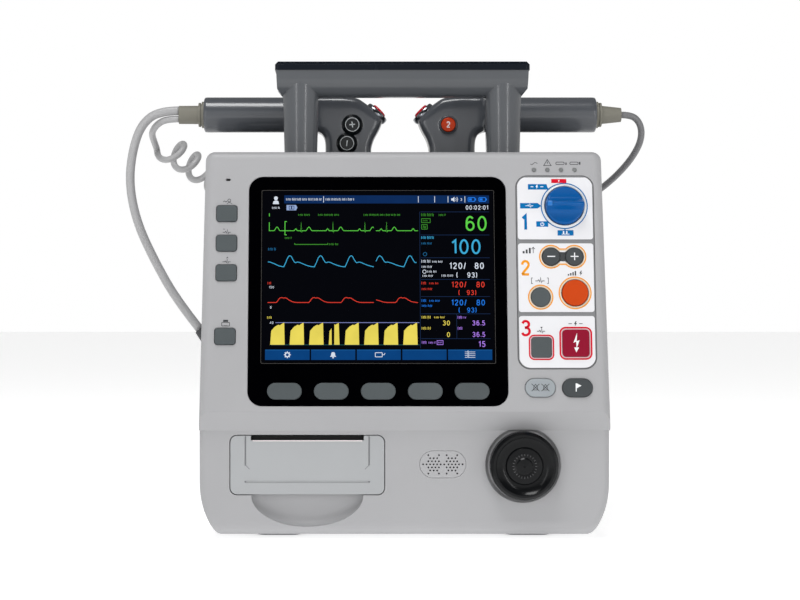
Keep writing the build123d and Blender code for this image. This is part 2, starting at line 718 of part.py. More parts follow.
# Printer drawer: the door and the tray behind it, with ears for the platen roller
DOOR_LEFT = DOOR_CENTRE[0] - DOOR_SIZE[0] / 2
DOOR_RIGHT = DOOR_CENTRE[0] + DOOR_SIZE[0] / 2
TRAY_LEFT = DOOR_CENTRE[0] - 46
TRAY_RIGHT = DOOR_CENTRE[0] + 46
TRAY_BACK = -24.0
with BuildPart() as printer_drawer:
    with BuildSketch(LOWER.offset(-DOOR_THICK)):
        with Locations(DOOR_CENTRE):
            RectangleRounded(*DOOR_SIZE, DOOR_ROUND - 0.5)
    extrude(amount=DOOR_THICK)
    slot_top = DOOR_CENTRE[1] + DOOR_SIZE[1] / 2
    box_between(
        (DOOR_CENTRE[0] - SLOT_WIDTH / 2, LOWER_Y - 1, slot_top - SLOT_HEIGHT),
        (DOOR_CENTRE[0] + SLOT_WIDTH / 2, LOWER_Y + DOOR_THICK + 1, slot_top + 1),
        mode=Mode.SUBTRACT,
    )
    box_between((TRAY_LEFT, LOWER_Y + DOOR_THICK - 0.5, 35.6), (TRAY_RIGHT, TRAY_BACK, 37.6))
    box_between((TRAY_LEFT, TRAY_BACK - 2, 36), (TRAY_RIGHT, TRAY_BACK, 60))
    for low, high in ((TRAY_LEFT, TRAY_LEFT + 2), (TRAY_RIGHT - 2, TRAY_RIGHT)):
        box_between((low, LOWER_Y + DOOR_THICK - 0.5, 36), (high, TRAY_BACK, 60))
        box_between((low, LOWER_Y + DOOR_THICK - 0.5, 59), (high, PLATEN_AT[0] + 5, PLATEN_AT[1] + 5))
    with BuildSketch(Plane.YZ.offset(TRAY_LEFT - 1)):
        with Locations(PLATEN_AT):
            Circle(PLATEN_PIN + 0.05)
    extrude(amount=94, mode=Mode.SUBTRACT)
    with BuildSketch(LOWER):
        with Locations((DOOR_CENTRE[0], 42.4)):
            Rectangle(91, 1.4)
        for side in (-1, 1):
            with Locations((DOOR_CENTRE[0] + side * 45.3, 65)):
                Rectangle(1.0, 21)
    extrude(amount=-0.5, mode=Mode.SUBTRACT)
save(printer_drawer.part, "printer_drawer")

with BuildPart() as platen_roller:
    with BuildSketch(Plane.YZ.offset(TRAY_LEFT + 2.6)):
        with Locations(PLATEN_AT):
            Circle(PLATEN_RADIUS)
    extrude(amount=TRAY_RIGHT - TRAY_LEFT - 5.2)
    with BuildSketch(Plane.YZ.offset(TRAY_LEFT - 1.5)):
        with Locations(PLATEN_AT):
            Circle(PLATEN_PIN)
    extrude(amount=TRAY_RIGHT - TRAY_LEFT + 3)
save(platen_roller.part, "platen_roller")

with BuildPart() as paper_roll:
    with BuildSketch(Plane.YZ.offset(DOOR_CENTRE[0] - ROLL_WIDTH / 2)):
        with Locations(ROLL_AT):
            Circle(ROLL_RADIUS)
            Circle(6, mode=Mode.SUBTRACT)
    extrude(amount=ROLL_WIDTH)
save(paper_roll.part, "paper_roll")

# Printer mechanism: the guide frame that the drawer runs in, with the print head across the front
with BuildPart() as printer_mechanism:
    box_between((TRAY_LEFT - 6, -72, 32.4), (TRAY_RIGHT + 6, -10, 35.2))
    for low, high in ((TRAY_LEFT - 6, TRAY_LEFT - 3), (TRAY_RIGHT + 3, TRAY_RIGHT + 6)):
        box_between((low, -80, 32.4), (high, -10, 84))
    box_between((TRAY_LEFT - 6, -80, 78), (TRAY_RIGHT + 6, -66, 84))
    box_between((TRAY_LEFT - 6, -84, 79), (TRAY_RIGHT + 6, -66, 82))
    box_between((TRAY_LEFT - 6, -13, 32.4), (TRAY_RIGHT + 6, -10, 62))
save(printer_mechanism.part, "printer_mechanism")

# Electronics
with BuildPart() as main_board:
    box_between((-125, -34, 96), (125, -32.4, 226))
    for x, z, width, height, depth in (
        (-80, 190, 34, 34, 4), (-20, 200, 22, 22, 3), (40, 190, 40, 26, 8),
        (90, 130, 30, 30, 12), (-60, 130, 60, 18, 6), (20, 130, 18, 40, 5),
    ):
        box_between((x - width / 2, -32.6, z - height / 2), (x + width / 2, -32.4 + depth, z + height / 2))
save(main_board.part, "main_board")

with BuildPart() as hv_capacitor:
    with BuildSketch(Plane.YZ.offset(-60)):
        with Locations((24, 180)):
            Circle(24)
    extrude(amount=120)
    for x in (-40, 36):
        box_between((x, -2, 153), (x + 4, 50, 157))
    box_between((-46, -2, 150), (46, 50, 153.4))
save(hv_capacitor.part, "hv_capacitor")

# Patient connectors on the right side
SOCKET_Z = [92.0, 117.0, 142.0, 167.0, 192.0]
SOCKET_OUTER = 9.0
SOCKET_BORE = 6.0
with BuildPart() as connector_panel:
    box_between(
        (PANEL_FLOOR + 0.1, PANEL_Y[0] + 0.5, PANEL_Z[0] + 0.5),
        (PANEL_FLOOR + 3, PANEL_Y[1] - 0.5, PANEL_Z[1] - 0.5),
    )
    with BuildSketch(Plane.YZ.offset(PANEL_FLOOR + 2)):
        with Locations(*[(y, z) for y in (4.0, 42.0) for z in SOCKET_Z[::2]]):
            Circle(SOCKET_OUTER)
    extrude(amount=6)
    with BuildSketch(Plane.YZ.offset(PANEL_FLOOR + 1.5)):
        with Locations(*[(y, z) for y in (4.0, 42.0) for z in SOCKET_Z[::2]]):
            Circle(SOCKET_BORE)
    extrude(amount=10, mode=Mode.SUBTRACT)
save(connector_panel.part, "connector_panel")

with BuildPart() as therapy_socket:
    with BuildSketch(Plane.YZ.offset(RECESS_FLOOR - 0.1)):
        with Locations((PLUG_CENTRE[1], PLUG_CENTRE[2])):
            RectangleRounded(44, 44, 6)
    extrude(amount=-2.6)
save(therapy_socket.part, "therapy_socket")

PLUG_FACE = RECESS_FLOOR - 2.7
LEAN = Vector(*TRUNK_ROUTE[-2]) - Vector(*TRUNK_ROUTE[-1])
EXIT_PLANE = Plane(origin=TRUNK_ROUTE[-1], z_dir=-LEAN)
with BuildPart() as trunk_plug:
    with BuildSketch(Plane.YZ.offset(PLUG_FACE)):
        with Locations((PLUG_CENTRE[1], PLUG_CENTRE[2])):
            Circle(PLUG_RADIUS)
    extrude(amount=-14)
    outer_face = trunk_plug.faces().sort_by(Axis.X)[0]
    fillet(outer_face.edges(), radius=2.5)
    with BuildSketch(EXIT_PLANE):
        Circle(TRUNK_DIAMETER / 2 + 1.0)
    with BuildSketch(EXIT_PLANE.offset(14)):
        Circle(TRUNK_DIAMETER / 2 + 2.4)
    loft()
save(trunk_plug.part, "trunk_plug")

with BuildPart() as mains_inlet:
    with BuildSketch(REAR):
        with Locations(INLET_AT):
            RectangleRounded(36, 25, 3)
    extrude(amount=1.6)
    with BuildSketch(REAR):
        with Locations(INLET_AT):
            Rectangle(27, 19.8)
    extrude(amount=-20)
    with BuildSketch(REAR.offset(1.6)):
        with Locations(INLET_AT):
            RectangleRounded(24, 16.4, 3)
    extrude(amount=-18, mode=Mode.SUBTRACT)
    with BuildSketch(REAR.offset(-17)):
        with Locations(*[(INLET_AT[0] + dx, INLET_AT[1] + dz) for dx, dz in ((-7, -2), (7, -2), (0, 2))]):
            Rectangle(2, 4)
    extrude(amount=9)
save(mains_inlet.part, "mains_inlet")

# Batteries, in bays open to the rear
for name, side in (("battery_a", 1), ("battery_b", -1)):
    with BuildPart() as battery:
        with BuildSketch(Plane.XZ.offset(-REAR_Y)):
            with Locations((side * BATTERY_X, BATTERY_Z)):
                RectangleRounded(BATTERY_SIZE[0], BATTERY_SIZE[2], 2.5)
        extrude(amount=BATTERY_SIZE[1])
        box_between(
            (side * BATTERY_X - 14, REAR_Y - 6, BATTERY_Z + 4),
            (side * BATTERY_X + 14, REAR_Y + 1, BATTERY_Z + 11),
            mode=Mode.SUBTRACT,
        )
    save(battery.part, name)


THUMB_BUTTONS = {
    "left_plus_button": (-38.0, 313.9, 6.5),
    "left_minus_button": (-42.2, 299.2, 6.5),
    "right_select_button": (37.8, 313.9, 5.6),
}
THUMB_DEEP = 1.4            # how far a thumb button reaches into the neck
THUMB_PROUD = 2.3
SHOCK_RADIUS = 6.4
NECK_FRONT = Plane(origin=(0, GRIP_Y - GRIP_RADIUS, 0), x_dir=(1, 0, 0), z_dir=(0, -1, 0))


def slant(side):
    """The plane of a paddle's slanting inner end."""
    return Plane(origin=(side * 19.0, GRIP_Y, 323.7), x_dir=(0, 1, 0), z_dir=(-side, 0, 1))


def paddle(side, buttons):
    """One hand paddle: a grip tube that bends down into a neck, on the base that holds the electrode."""
    def at(x, z):
        return (side * x, z)

    with BuildPart() as solid:
        with BuildSketch(Plane.XZ.offset(-GRIP_Y)):
            with BuildLine():
                Polyline(
                    at(66, 309), at(62, 307.5), at(59.6, 303), at(59.2, 296), at(60, BASE_TOP - 3),
                    at(22.5, BASE_TOP - 3), at(23, 296), at(20.8, 303), at(16.5, 310.5),
                    at(13.4, 318), at(24.6, 329.4), at(33, 335.4), at(44, 337), at(66, 337),
                    close=True,
                )
            make_face()
        extrude(amount=GRIP_RADIUS, both=True)
        along = [
            e for e in solid.edges()
            if abs(abs(e.center().Y - GRIP_Y) - GRIP_RADIUS) < 0.01 and BASE_TOP - 1 < e.center().Z
            and abs(e.center().X) < 65.5
        ]
        chamfer(along, length=3.5)
        with BuildSketch(Plane.YZ.offset(side * GRIP_END)):
            with Locations((GRIP_Y, GRIP_Z)):
                Circle(GRIP_RADIUS)
        extrude(amount=-side * (GRIP_END - 56))
        with BuildSketch(Plane.XY.offset(BASE_BOTTOM)):
            with Locations((side * BASE_CENTRE, GRIP_Y)):
                RectangleRounded(*BASE_SIZE, 14)
        extrude(amount=BASE_TOP - BASE_BOTTOM - 6)
        with BuildSketch(Plane.XY.offset(BASE_TOP - 6)):
            with Locations((side * BASE_CENTRE, GRIP_Y)):
                RectangleRounded(*BASE_SIZE, 14)
        extrude(amount=6, taper=35)
        for x, z, radius in buttons:
            with BuildSketch(NECK_FRONT):
                with Locations((x, z)):
                    Circle(radius + 0.3)
            extrude(amount=-THUMB_DEEP - 1.5, mode=Mode.SUBTRACT)
        with BuildSketch(slant(side).offset(1)):
            Circle(SHOCK_RADIUS + 0.3)
        extrude(amount=-5, mode=Mode.SUBTRACT)
    return solid.part


def collar(side, exit_low):
    """The cord gland at a grip's outer end: two rings and a tapered strain relief."""
    rings = ((10.5, 1.6), (8.6, 1.0), (9.6, 1.6))
    with BuildPart() as solid:
        x = GRIP_END
        for radius, length in rings:
            with BuildSketch(Plane.YZ.offset(side * x)):
                with Locations((GRIP_Y, GRIP_Z)):
                    Circle(radius)
            extrude(amount=side * length)
            x += length
        with BuildSketch(Plane.YZ.offset(side * x)):
            with Locations((GRIP_Y, GRIP_Z)):
                Circle(7.3)
        with BuildSketch(Plane.YZ.offset(side * GLAND_END)):
            with Locations((GRIP_Y, GRIP_Z)):
                Ellipse(5.6, exit_low)
        loft()
    return solid.part


def electrode(side):
    """The metal electrode plate under a paddle's base."""
    with BuildPart() as solid:
        with BuildSketch(Plane.XY.offset(BASE_BOTTOM)):
            with Locations((side * BASE_CENTRE, GRIP_Y)):
                RectangleRounded(100, 66, 11)
        extrude(amount=-3.5)
        fillet(solid.faces().sort_by(Axis.Z)[0].edges(), radius=1.5)
    return solid.part


def shock_button(side):
    """The discharge button, sunk in the slanting inner end."""
    with BuildPart() as solid:
        with BuildSketch(slant(side).offset(-2)):
            Circle(SHOCK_RADIUS)
        extrude(amount=2 + 4.6)
        fillet(outermost(solid, slant(side)).edges(), radius=1.5)
    return solid.part


def thumb_button(x, z, radius):
    """A round thumb button, sunk in the front of a paddle's neck."""
    with BuildPart() as solid:
        with BuildSketch(NECK_FRONT.offset(-THUMB_DEEP)):
            with Locations((x, z)):
                Circle(radius)
        extrude(amount=THUMB_DEEP + THUMB_PROUD)
        fillet(outermost(solid, NECK_FRONT).edges(), radius=0.8)
    return solid.part


for name, side in (("left", -1), ("right", 1)):
    buttons = [spot for button, spot in THUMB_BUTTONS.items() if button.startswith(name)]
    save(paddle(side, buttons), f"{name}_paddle")
    save(electrode(side), f"{name}_electrode")
    save(shock_button(side), f"{name}_shock_button")
save(collar(-1, 7.2), "left_cord_gland")
save(collar(1, 5.6), "right_cord_gland")
for name, (x, z, radius) in THUMB_BUTTONS.items():
    save(thumb_button(x, z, radius), name)


def corner_radii(points, name):
    """The largest arc that each corner of a route has room for, printed in millimetres."""
    spots = [Vector(*p) for p in points]
    runs = [(b - a).length for a, b in zip(spots, spots[1:])]
    radii = []
    for number in range(1, len(spots) - 1):
        turn = (spots[number] - spots[number - 1]).get_angle(spots[number + 1] - spots[number])
        radii.append(0.45 * min(runs[number - 1], runs[number]) / tan(radians(turn) / 2))
    print(name, "length", round(sum(runs)), "radii", [round(r, 1) for r in radii])
    return radii


def tube(points, diameter, name):
    """A cord's plain solid: straight runs joined by tangent arcs."""
    radii = corner_radii(points, name)
    with BuildPart() as solid:
        with BuildLine() as path:
            FilletPolyline(*points, radius=radii)
        with BuildSketch(Plane(origin=points[0], z_dir=Vector(*points[1]) - Vector(*points[0]))):
            Circle(diameter / 2)
        sweep(path=path.line)
    expected = pi * diameter**2 / 4 * path.wires()[0].length
    print(name, "volume share", round(solid.part.volume / expected, 3))
    return solid.part


save(tube(TRUNK_ROUTE, TRUNK_DIAMETER, "trunk_cord"), "trunk_cord")
save(tube(LINK_LEFT_ROUTE, LINK_DIAMETER, "link_cord_left"), "link_cord_left")
save(tube(COIL_ROUTE, COIL_DIAMETER, "link_coil"), "link_coil")
save(tube(LINK_RIGHT_ROUTE, LINK_DIAMETER, "link_cord_right"), "link_cord_right")
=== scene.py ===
import math

import bmesh
import bpy
from mathutils import Matrix, Vector


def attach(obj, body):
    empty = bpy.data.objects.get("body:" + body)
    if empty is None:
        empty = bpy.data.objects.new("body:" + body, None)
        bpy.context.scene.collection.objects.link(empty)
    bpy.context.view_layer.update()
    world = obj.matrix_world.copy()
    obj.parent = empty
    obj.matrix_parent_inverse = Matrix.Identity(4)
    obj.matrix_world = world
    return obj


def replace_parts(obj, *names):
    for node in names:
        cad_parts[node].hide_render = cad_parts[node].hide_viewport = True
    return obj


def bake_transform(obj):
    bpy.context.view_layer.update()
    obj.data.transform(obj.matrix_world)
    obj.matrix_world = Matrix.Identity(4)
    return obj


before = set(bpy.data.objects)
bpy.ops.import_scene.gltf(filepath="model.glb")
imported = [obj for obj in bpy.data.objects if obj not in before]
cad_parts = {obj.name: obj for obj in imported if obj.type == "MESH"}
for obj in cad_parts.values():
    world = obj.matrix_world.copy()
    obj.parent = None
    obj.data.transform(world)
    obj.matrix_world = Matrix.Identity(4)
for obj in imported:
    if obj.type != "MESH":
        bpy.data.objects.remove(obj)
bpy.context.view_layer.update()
scene = bpy.context.scene
MM = 0.001


def mm(x, y, z):
    return Vector((x * MM, y * MM, z * MM))


# Camera at the photograph's viewing angle, level with the middle of the screen
camera_data = bpy.data.cameras.new("camera")
camera = bpy.data.objects.new("camera", camera_data)
scene.collection.objects.link(camera)
camera.location = (-0.042, -1.4855, 0.1755)
camera.rotation_euler = (math.radians(90), 0, 0)
camera_data.lens = 85.55
camera_data.sensor_width = 36
camera_data.shift_x = 0.066
camera_data.clip_end = 50
scene.camera = camera


# ---------------------------------------------------------------- materials

def node(tree, kind, **values):
    made = tree.nodes.new(kind)
    for key, value in values.items():
        setattr(made, key, value)
    return made


def srgb(colour):
    """A colour given as 0 to 255, in the shader's linear scale."""
    shares = [value / 255 for value in colour]
    return [c / 12.92 if c <= 0.04045 else ((c + 0.055) / 1.055) ** 2.4 for c in shares]


def shader(name, colour, rough=0.5, metal=0.0, coat=0.0, coat_rough=0.08, specular=0.5, vary=0.05, patch=40.0,
    grain=0.0, grain_scale=900.0, rough_vary=0.06, rough_scale=60.0, stretch=None, bevel=0.0, emit=0.0):
    """A procedural material: patches of colour, uneven roughness and a fine surface grain."""
    colour = srgb(colour)
    material = bpy.data.materials.new(name)
    material.use_nodes = True
    tree = material.node_tree
    surface = tree.nodes["Principled BSDF"]
    surface.inputs["Metallic"].default_value = metal
    surface.inputs["Coat Weight"].default_value = coat
    surface.inputs["Coat Roughness"].default_value = coat_rough
    surface.inputs["Specular IOR Level"].default_value = specular
    place = node(tree, "ShaderNodeTexCoord")
    spot = place.outputs["Object"]
    if stretch:
        mapping = node(tree, "ShaderNodeMapping")
        mapping.inputs["Scale"].default_value = stretch
        tree.links.new(spot, mapping.inputs["Vector"])
        spot = mapping.outputs["Vector"]

    def noise(scale, detail):
        made = node(tree, "ShaderNodeTexNoise")
        made.inputs["Scale"].default_value = scale
        made.inputs["Detail"].default_value = detail
        tree.links.new(spot, made.inputs["Vector"])
        return made.outputs["Fac"]

    ramp = node(tree, "ShaderNodeValToRGB")
    ramp.color_ramp.elements[0].position = 0.3
    ramp.color_ramp.elements[1].position = 0.7
    ramp.color_ramp.elements[0].color = [max(c * (1 - vary), 0) for c in colour] + [1]
    ramp.color_ramp.elements[1].color = [min(c * (1 + vary), 1) for c in colour] + [1]
    tree.links.new(noise(patch, 3), ramp.inputs["Fac"])
    if emit:
        surface.inputs["Base Color"].default_value = (0.001, 0.001, 0.0015, 1)
        tree.links.new(ramp.outputs["Color"], surface.inputs["Emission Color"])
        surface.inputs["Emission Strength"].default_value = emit
    else:
        tree.links.new(ramp.outputs["Color"], surface.inputs["Base Color"])
    spread = node(tree, "ShaderNodeMapRange")
    spread.inputs["To Min"].default_value = max(rough - rough_vary, 0.02)
    spread.inputs["To Max"].default_value = min(rough + rough_vary, 1)
    tree.links.new(noise(rough_scale, 4), spread.inputs["Value"])
    tree.links.new(spread.outputs["Result"], surface.inputs["Roughness"])
    round_edge = None
    if bevel:
        round_edge = node(tree, "ShaderNodeBevel", samples=4)
        round_edge.inputs["Radius"].default_value = bevel * MM
    if grain:
        bump = node(tree, "ShaderNodeBump")
        bump.inputs["Strength"].default_value = grain
        bump.inputs["Distance"].default_value = 0.0002
        tree.links.new(noise(grain_scale, 3), bump.inputs["Height"])
        if round_edge:
            tree.links.new(round_edge.outputs["Normal"], bump.inputs["Normal"])
        tree.links.new(bump.outputs["Normal"], surface.inputs["Normal"])
    elif round_edge:
        tree.links.new(round_edge.outputs["Normal"], surface.inputs["Normal"])
    return material


HOUSING = shader("housing_grey", (157, 157, 159), rough=0.5, vary=0.025, patch=9, grain=0.16, grain_scale=1500,
    bevel=0.7)
HOUSING_LOW = shader("door_grey", (157, 159, 161), rough=0.48, vary=0.02, patch=14, grain=0.14, grain_scale=1500,
    bevel=0.5)
GRILLE = shader("grille_grey", (160, 160, 162), rough=0.5, vary=0.02, grain=0.14, grain_scale=1500)
HANDLE = shader("handle_grey", (72, 75, 79), rough_vary=0.02, rough=0.26, coat=0.35, coat_rough=0.1, specular=0.4,
    vary=0.03, patch=22, grain=0.0, grain_scale=1200, bevel=0.5)
PADDLE = shader("paddle_grey", (72, 75, 80), rough_vary=0.02, rough=0.25, coat=0.35, coat_rough=0.1, specular=0.4,
    vary=0.03, patch=25, grain=0.0, grain_scale=1100)
NAVY = shader("strip_navy", (10, 16, 25), rough=0.25, specular=0.12, vary=0.1, grain=0.0, bevel=0.6)
GLASS = shader("black_glass", (1, 1, 2), rough=0.1, specular=0.0, vary=0.2, rough_vary=0.03, bevel=0.3)
FIELD = shader("field_grey", (118, 119, 121), rough=0.5, vary=0.03, grain=0.12, bevel=0.3)
PLATE = shader("plate_white", (216, 216, 219), rough=0.42, vary=0.012, grain=0.05, grain_scale=1800)
KEY_GREY = shader("key_rubber_grey", (74, 80, 82), specular=0.2, rough=0.52, vary=0.04, grain=0.2, grain_scale=1900)
KEY_DARK = shader("key_rubber_dark", (62, 66, 68), specular=0.2, rough=0.5, vary=0.04, grain=0.2, grain_scale=1900)
KEY_LIGHT = shader("key_rubber_light", (146, 152, 156), specular=0.3, rough=0.5, vary=0.03, grain=0.2,
    grain_scale=1900)
KEY_ORANGE = shader("key_orange", (186, 62, 6), specular=0.12, rough=0.38, coat=0.05, coat_rough=0.25, vary=0.03,
    grain=0.1, grain_scale=1900)
KEY_CRIMSON = shader("key_crimson", (132, 8, 40), specular=0.1, rough=0.36, coat=0.05, coat_rough=0.25, vary=0.04,
    grain=0.1, grain_scale=1900)
LENS = shader("led_lens", (112, 114, 114), rough=0.25, coat=0.6, vary=0.08, grain=0.05)
DIAL = shader("dial_black", (7, 8, 10), rough=0.25, coat=0.12, coat_rough=0.08, specular=0.12, vary=0.15, grain=0.02,
    bevel=0.5)
KNOB = shader("knob_blue", (0, 80, 146), rough=0.3, coat=0.12, coat_rough=0.14, specular=0.12, vary=0.05, grain=0.02,
    grain_scale=700)
RING_LIGHT = shader("knob_ring_light", (206, 208, 210), rough=0.35, vary=0.02, grain=0.04)
KNOB_MARK = shader("knob_mark", (10, 104, 180), rough=0.3, vary=0.04, grain=0.04)
BUTTON_BLACK = shader("button_black", (12, 17, 20), specular=0.2, rough=0.2, coat=0.25, vary=0.1, grain=0.04)
BUTTON_ORANGE = shader("button_orange", (180, 50, 4), specular=0.15, rough=0.25, coat=0.1, vary=0.04, grain=0.04)
BUTTON_RED = shader("button_red", (196, 8, 34), specular=0.2, rough=0.2, coat=0.3, vary=0.05, grain=0.04)
RUBBER = shader("gland_rubber", (114, 112, 102), rough=0.62, vary=0.05, grain=0.25, grain_scale=1300)
FOOT = shader("foot_rubber", (42, 46, 56), rough=0.75, vary=0.08, grain=0.4, grain_scale=1300)
JACKET = shader("cord_jacket", (162, 162, 163), rough=0.42, vary=0.02, patch=60, grain=0.04, grain_scale=1700)
# A darker copy of the cord jacket, for the right link cord where it runs behind the housing: painted shade on the
# same cord.
JACKET_PAINTED_SHADE = shader("cord_jacket_painted_shade", (108, 108, 110), rough=0.42, vary=0.02, patch=60, grain=0.04,
    grain_scale=1700)
SOCKET = shader("socket_black", (48, 49, 52), rough=0.5, vary=0.06, grain=0.25, grain_scale=1300, bevel=0.4)
MODULE = shader("module_metal", (170, 172, 176), rough=0.35, metal=1, vary=0.05, grain=0.08, stretch=(1, 1, 12))
CAN = shader("capacitor_sleeve", (26, 40, 74), rough=0.35, coat=0.3, vary=0.08, grain=0.06)
STEEL = shader("brushed_steel", (186, 187, 190), rough=0.3, metal=1, vary=0.06, grain=0.14, grain_scale=500,
    stretch=(1, 9, 1))
CHROME_RING = shader("ring_metal", (128, 131, 136), rough=0.2, metal=1, vary=0.05, grain=0.05)
BOARD = shader("board_green", (20, 92, 52), rough=0.42, vary=0.2, patch=160, grain=0.3, grain_scale=500)
FRAME = shader("printer_frame", (52, 53, 56), rough=0.55, vary=0.06, grain=0.25)
PAPER = shader("paper", (236, 226, 226), rough=0.75, vary=0.015, grain=0.2, grain_scale=2200)
ROLLER = shader("roller_rubber", (38, 38, 40), rough=0.7, vary=0.08, grain=0.3)
BATTERY = shader("battery_case", (62, 64, 68), rough=0.5, vary=0.05, grain=0.3, grain_scale=1200, bevel=0.5)
CONE = shader("speaker_cone", (22, 22, 24), rough=0.85, vary=0.15, grain=0.3)
INK = shader("ink_dark", (38, 40, 44), rough=0.5, vary=0.05, grain=0.04)
INK_WHITE = shader("ink_white", (228, 230, 232), rough=0.45, vary=0.02, grain=0.04)
INK_BLUE = shader("ink_blue", (0, 100, 160), specular=0.1, rough=0.42, vary=0.04, grain=0.04)
INK_RED = shader("ink_red", (200, 12, 38), specular=0.1, rough=0.42, vary=0.04, grain=0.04)
INK_ORANGE = shader("ink_orange", (224, 146, 34), specular=0.1, rough=0.42, vary=0.04, grain=0.04)
INK_PINK = shader("ink_pale_pink", (214, 180, 186), rough=0.42, vary=0.03, grain=0.04)
INK_CREAM = shader("ink_pale_cream", (214, 198, 178), rough=0.42, vary=0.03, grain=0.04)
GROOVE = shader("groove_shade", (112, 113, 116), rough=0.6, vary=0.05, grain=0.05)
# Painted shade: a near-black colour standing in for the shade deep inside the paper slot and the microphone slot.
HOLE_SHADE = shader("hole_painted_shade", (14, 14, 15), rough=0.9, vary=0.2, grain=0.1)


def glow(name, colour):
    return shader("screen_" + name, colour, rough=0.3, specular=0.0, vary=0.06, patch=90, emit=0.95)


# ---------------------------------------------------------------- cords

TRUNK = [(-176, 30, 326.3), (-192, 30, 326.3), (-206.5, 32, 315.5), (-214, 35, 294), (-216.5, 36, 268),
    (-210.5, 36, 238), (-196.5, 36, 207.5), (-178.5, 36, 175.5), (-160, 36, 152.2)]
LINK_LEFT = [(-176, 30, 319.7), (-186, 30, 319.7), (-194, 34.5, 316), (-199, 46, 311.5), (-200.5, 60, 309),
    (-200.3, 71.5, 305.8), (-199.2, 81.5, 300.8)]
COIL = [(-189.7, 74.3, 301.7), (-180, 84.5, 294.5), (-169.5, 95.5, 286.8), (-159, 104, 279.5), (-142, 108, 269),
    (-120, 109, 257), (-92, 108, 240), (-63, 105, 220), (-34, 102, 206), (-8, 102, 206)]
LINK_RIGHT = [(-8, 102, 206), (19, 102, 206), (46, 103.5, 211), (82, 104.5, 224), (118, 105, 241), (152, 103, 256),
    (171, 76, 270), (184, 52, 284.5), (191.5, 38, 298), (193.5, 33, 308.5), (191, 30.5, 317.5), (184.5, 30, 323),
    (176, 30, 323)]


def route_line(points, resolution=16):
    """The points along the NURBS spline that a cord's route makes."""
    curve = bpy.data.curves.new("route", "CURVE")
    curve.dimensions = "3D"
    spline = curve.splines.new("NURBS")
    spline.points.add(len(points) - 1)
    for at, point in zip(spline.points, points):
        at.co = (point[0] * MM, point[1] * MM, point[2] * MM, 1)
    spline.order_u = 3
    spline.use_endpoint_u = True
    spline.resolution_u = resolution
    made = bpy.data.objects.new("route", curve)
    scene.collection.objects.link(made)
    mesh = bpy.data.meshes.new_from_object(made)
    line = [vertex.co.copy() for vertex in mesh.vertices]
    bpy.data.objects.remove(made)
    return line


def line_length(line):
    return sum((b - a).length for a, b in zip(line, line[1:]))


def bridge(mesh, rows, closed=True):
    """Faces between rows of the same number of points."""
    count = len(rows[0])
    for one, two in zip(rows, rows[1:]):
        for k in range(count if closed else count - 1):
            n = (k + 1) % count
            mesh.faces.new((one[k], one[n], two[n], two[k]))


def tube(name, line, radius, material, sides=20):
    """A round tube along a line, with frames carried along it so that it doesn't twist."""
    mesh = bmesh.new()
    rings = []
    normal = None
    for number, point in enumerate(line):
        ahead = line[min(number + 1, len(line) - 1)] - line[max(number - 1, 0)]
        ahead.normalize()
        if normal is None:
            normal = ahead.orthogonal().normalized()
        normal = (normal - ahead * normal.dot(ahead)).normalized()
        side = ahead.cross(normal)
        rings.append([
            mesh.verts.new(point + (normal * math.cos(a) + side * math.sin(a)) * radius)
            for a in [2 * math.pi * k / sides for k in range(sides)]
        ])
    bridge(mesh, rings)
    mesh.faces.new(list(reversed(rings[0])))
    mesh.faces.new(rings[-1])
    return finish_mesh(name, mesh, material, smooth=True)


def finish_mesh(name, mesh, material, smooth=False):
    data = bpy.data.meshes.new(name)
    mesh.normal_update()
    mesh.to_mesh(data)
    mesh.free()
    made = bpy.data.objects.new(name, data)
    scene.collection.objects.link(made)
    data.materials.append(material)
    if smooth:
        data.polygons.foreach_set("use_smooth", [True] * len(data.polygons))
    return made


def settle(made, body):
    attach(made, body)
    return made


def eased(share):
    """0 to 1, starting and ending softly."""
    share = min(1.0, max(0.0, share))
    return share * share * (3 - 2 * share)


CURL_RADIUS = 0.0096  # of the curl's own line
WIDER_START = (0.003, 0.006)  # how much wider the first turn is, and over what length
LOOSE_PITCH, TIGHT_PITCH = 0.0176, 0.013
TAKE_OVER = 0.008  # the length over which the plain lead passes into the curl
RUN_IN = 0.016  # the length over which the curl closes up at the clip


def helix_line(line, joint, heading):
    """The curly cord's own line: it takes over from the plain lead, winds round the route and runs in to the clip."""
    total = line_length(line)
    found, travelled, arc = [], 0.0, 0.0
    normal = Vector((0.596, 0, 0.803))
    angle = math.radians(-59)
    for number, at in enumerate(line):
        ahead = (line[min(number + 1, len(line) - 1)] - line[max(number - 1, 0)]).normalized()
        normal = (normal - ahead * normal.dot(ahead)).normalized()
        side = ahead.cross(normal)
        wide = CURL_RADIUS + WIDER_START[0] * max(0.0, 1 - travelled / WIDER_START[1])
        wide *= eased((total - travelled) / RUN_IN)
        spot = at + (side * math.sin(angle) - normal * math.cos(angle)) * wide
        if number:
            arc += (spot - last).length
        last = spot
        if arc < TAKE_OVER:
            share = eased(arc / TAKE_OVER)
            spot = (joint + heading * arc) * (1 - share) + spot * share
        found.append(spot)
        if number + 1 < len(line):
            gap = (line[number + 1] - at).length
            travelled += gap
            pitch = max(TIGHT_PITCH, LOOSE_PITCH - max(0.0, travelled - 0.045) * 0.2)
            angle += 2 * math.pi * gap / pitch
    return found


def cord(name, line, radius, material, sides=20):
    """A cord in place of its CAD node: it leaves its paddle and is held by the housing past the end of the blend."""
    made = tube(name + "_jacket", line, radius, material, sides)
    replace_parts(made, name)
    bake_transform(made)


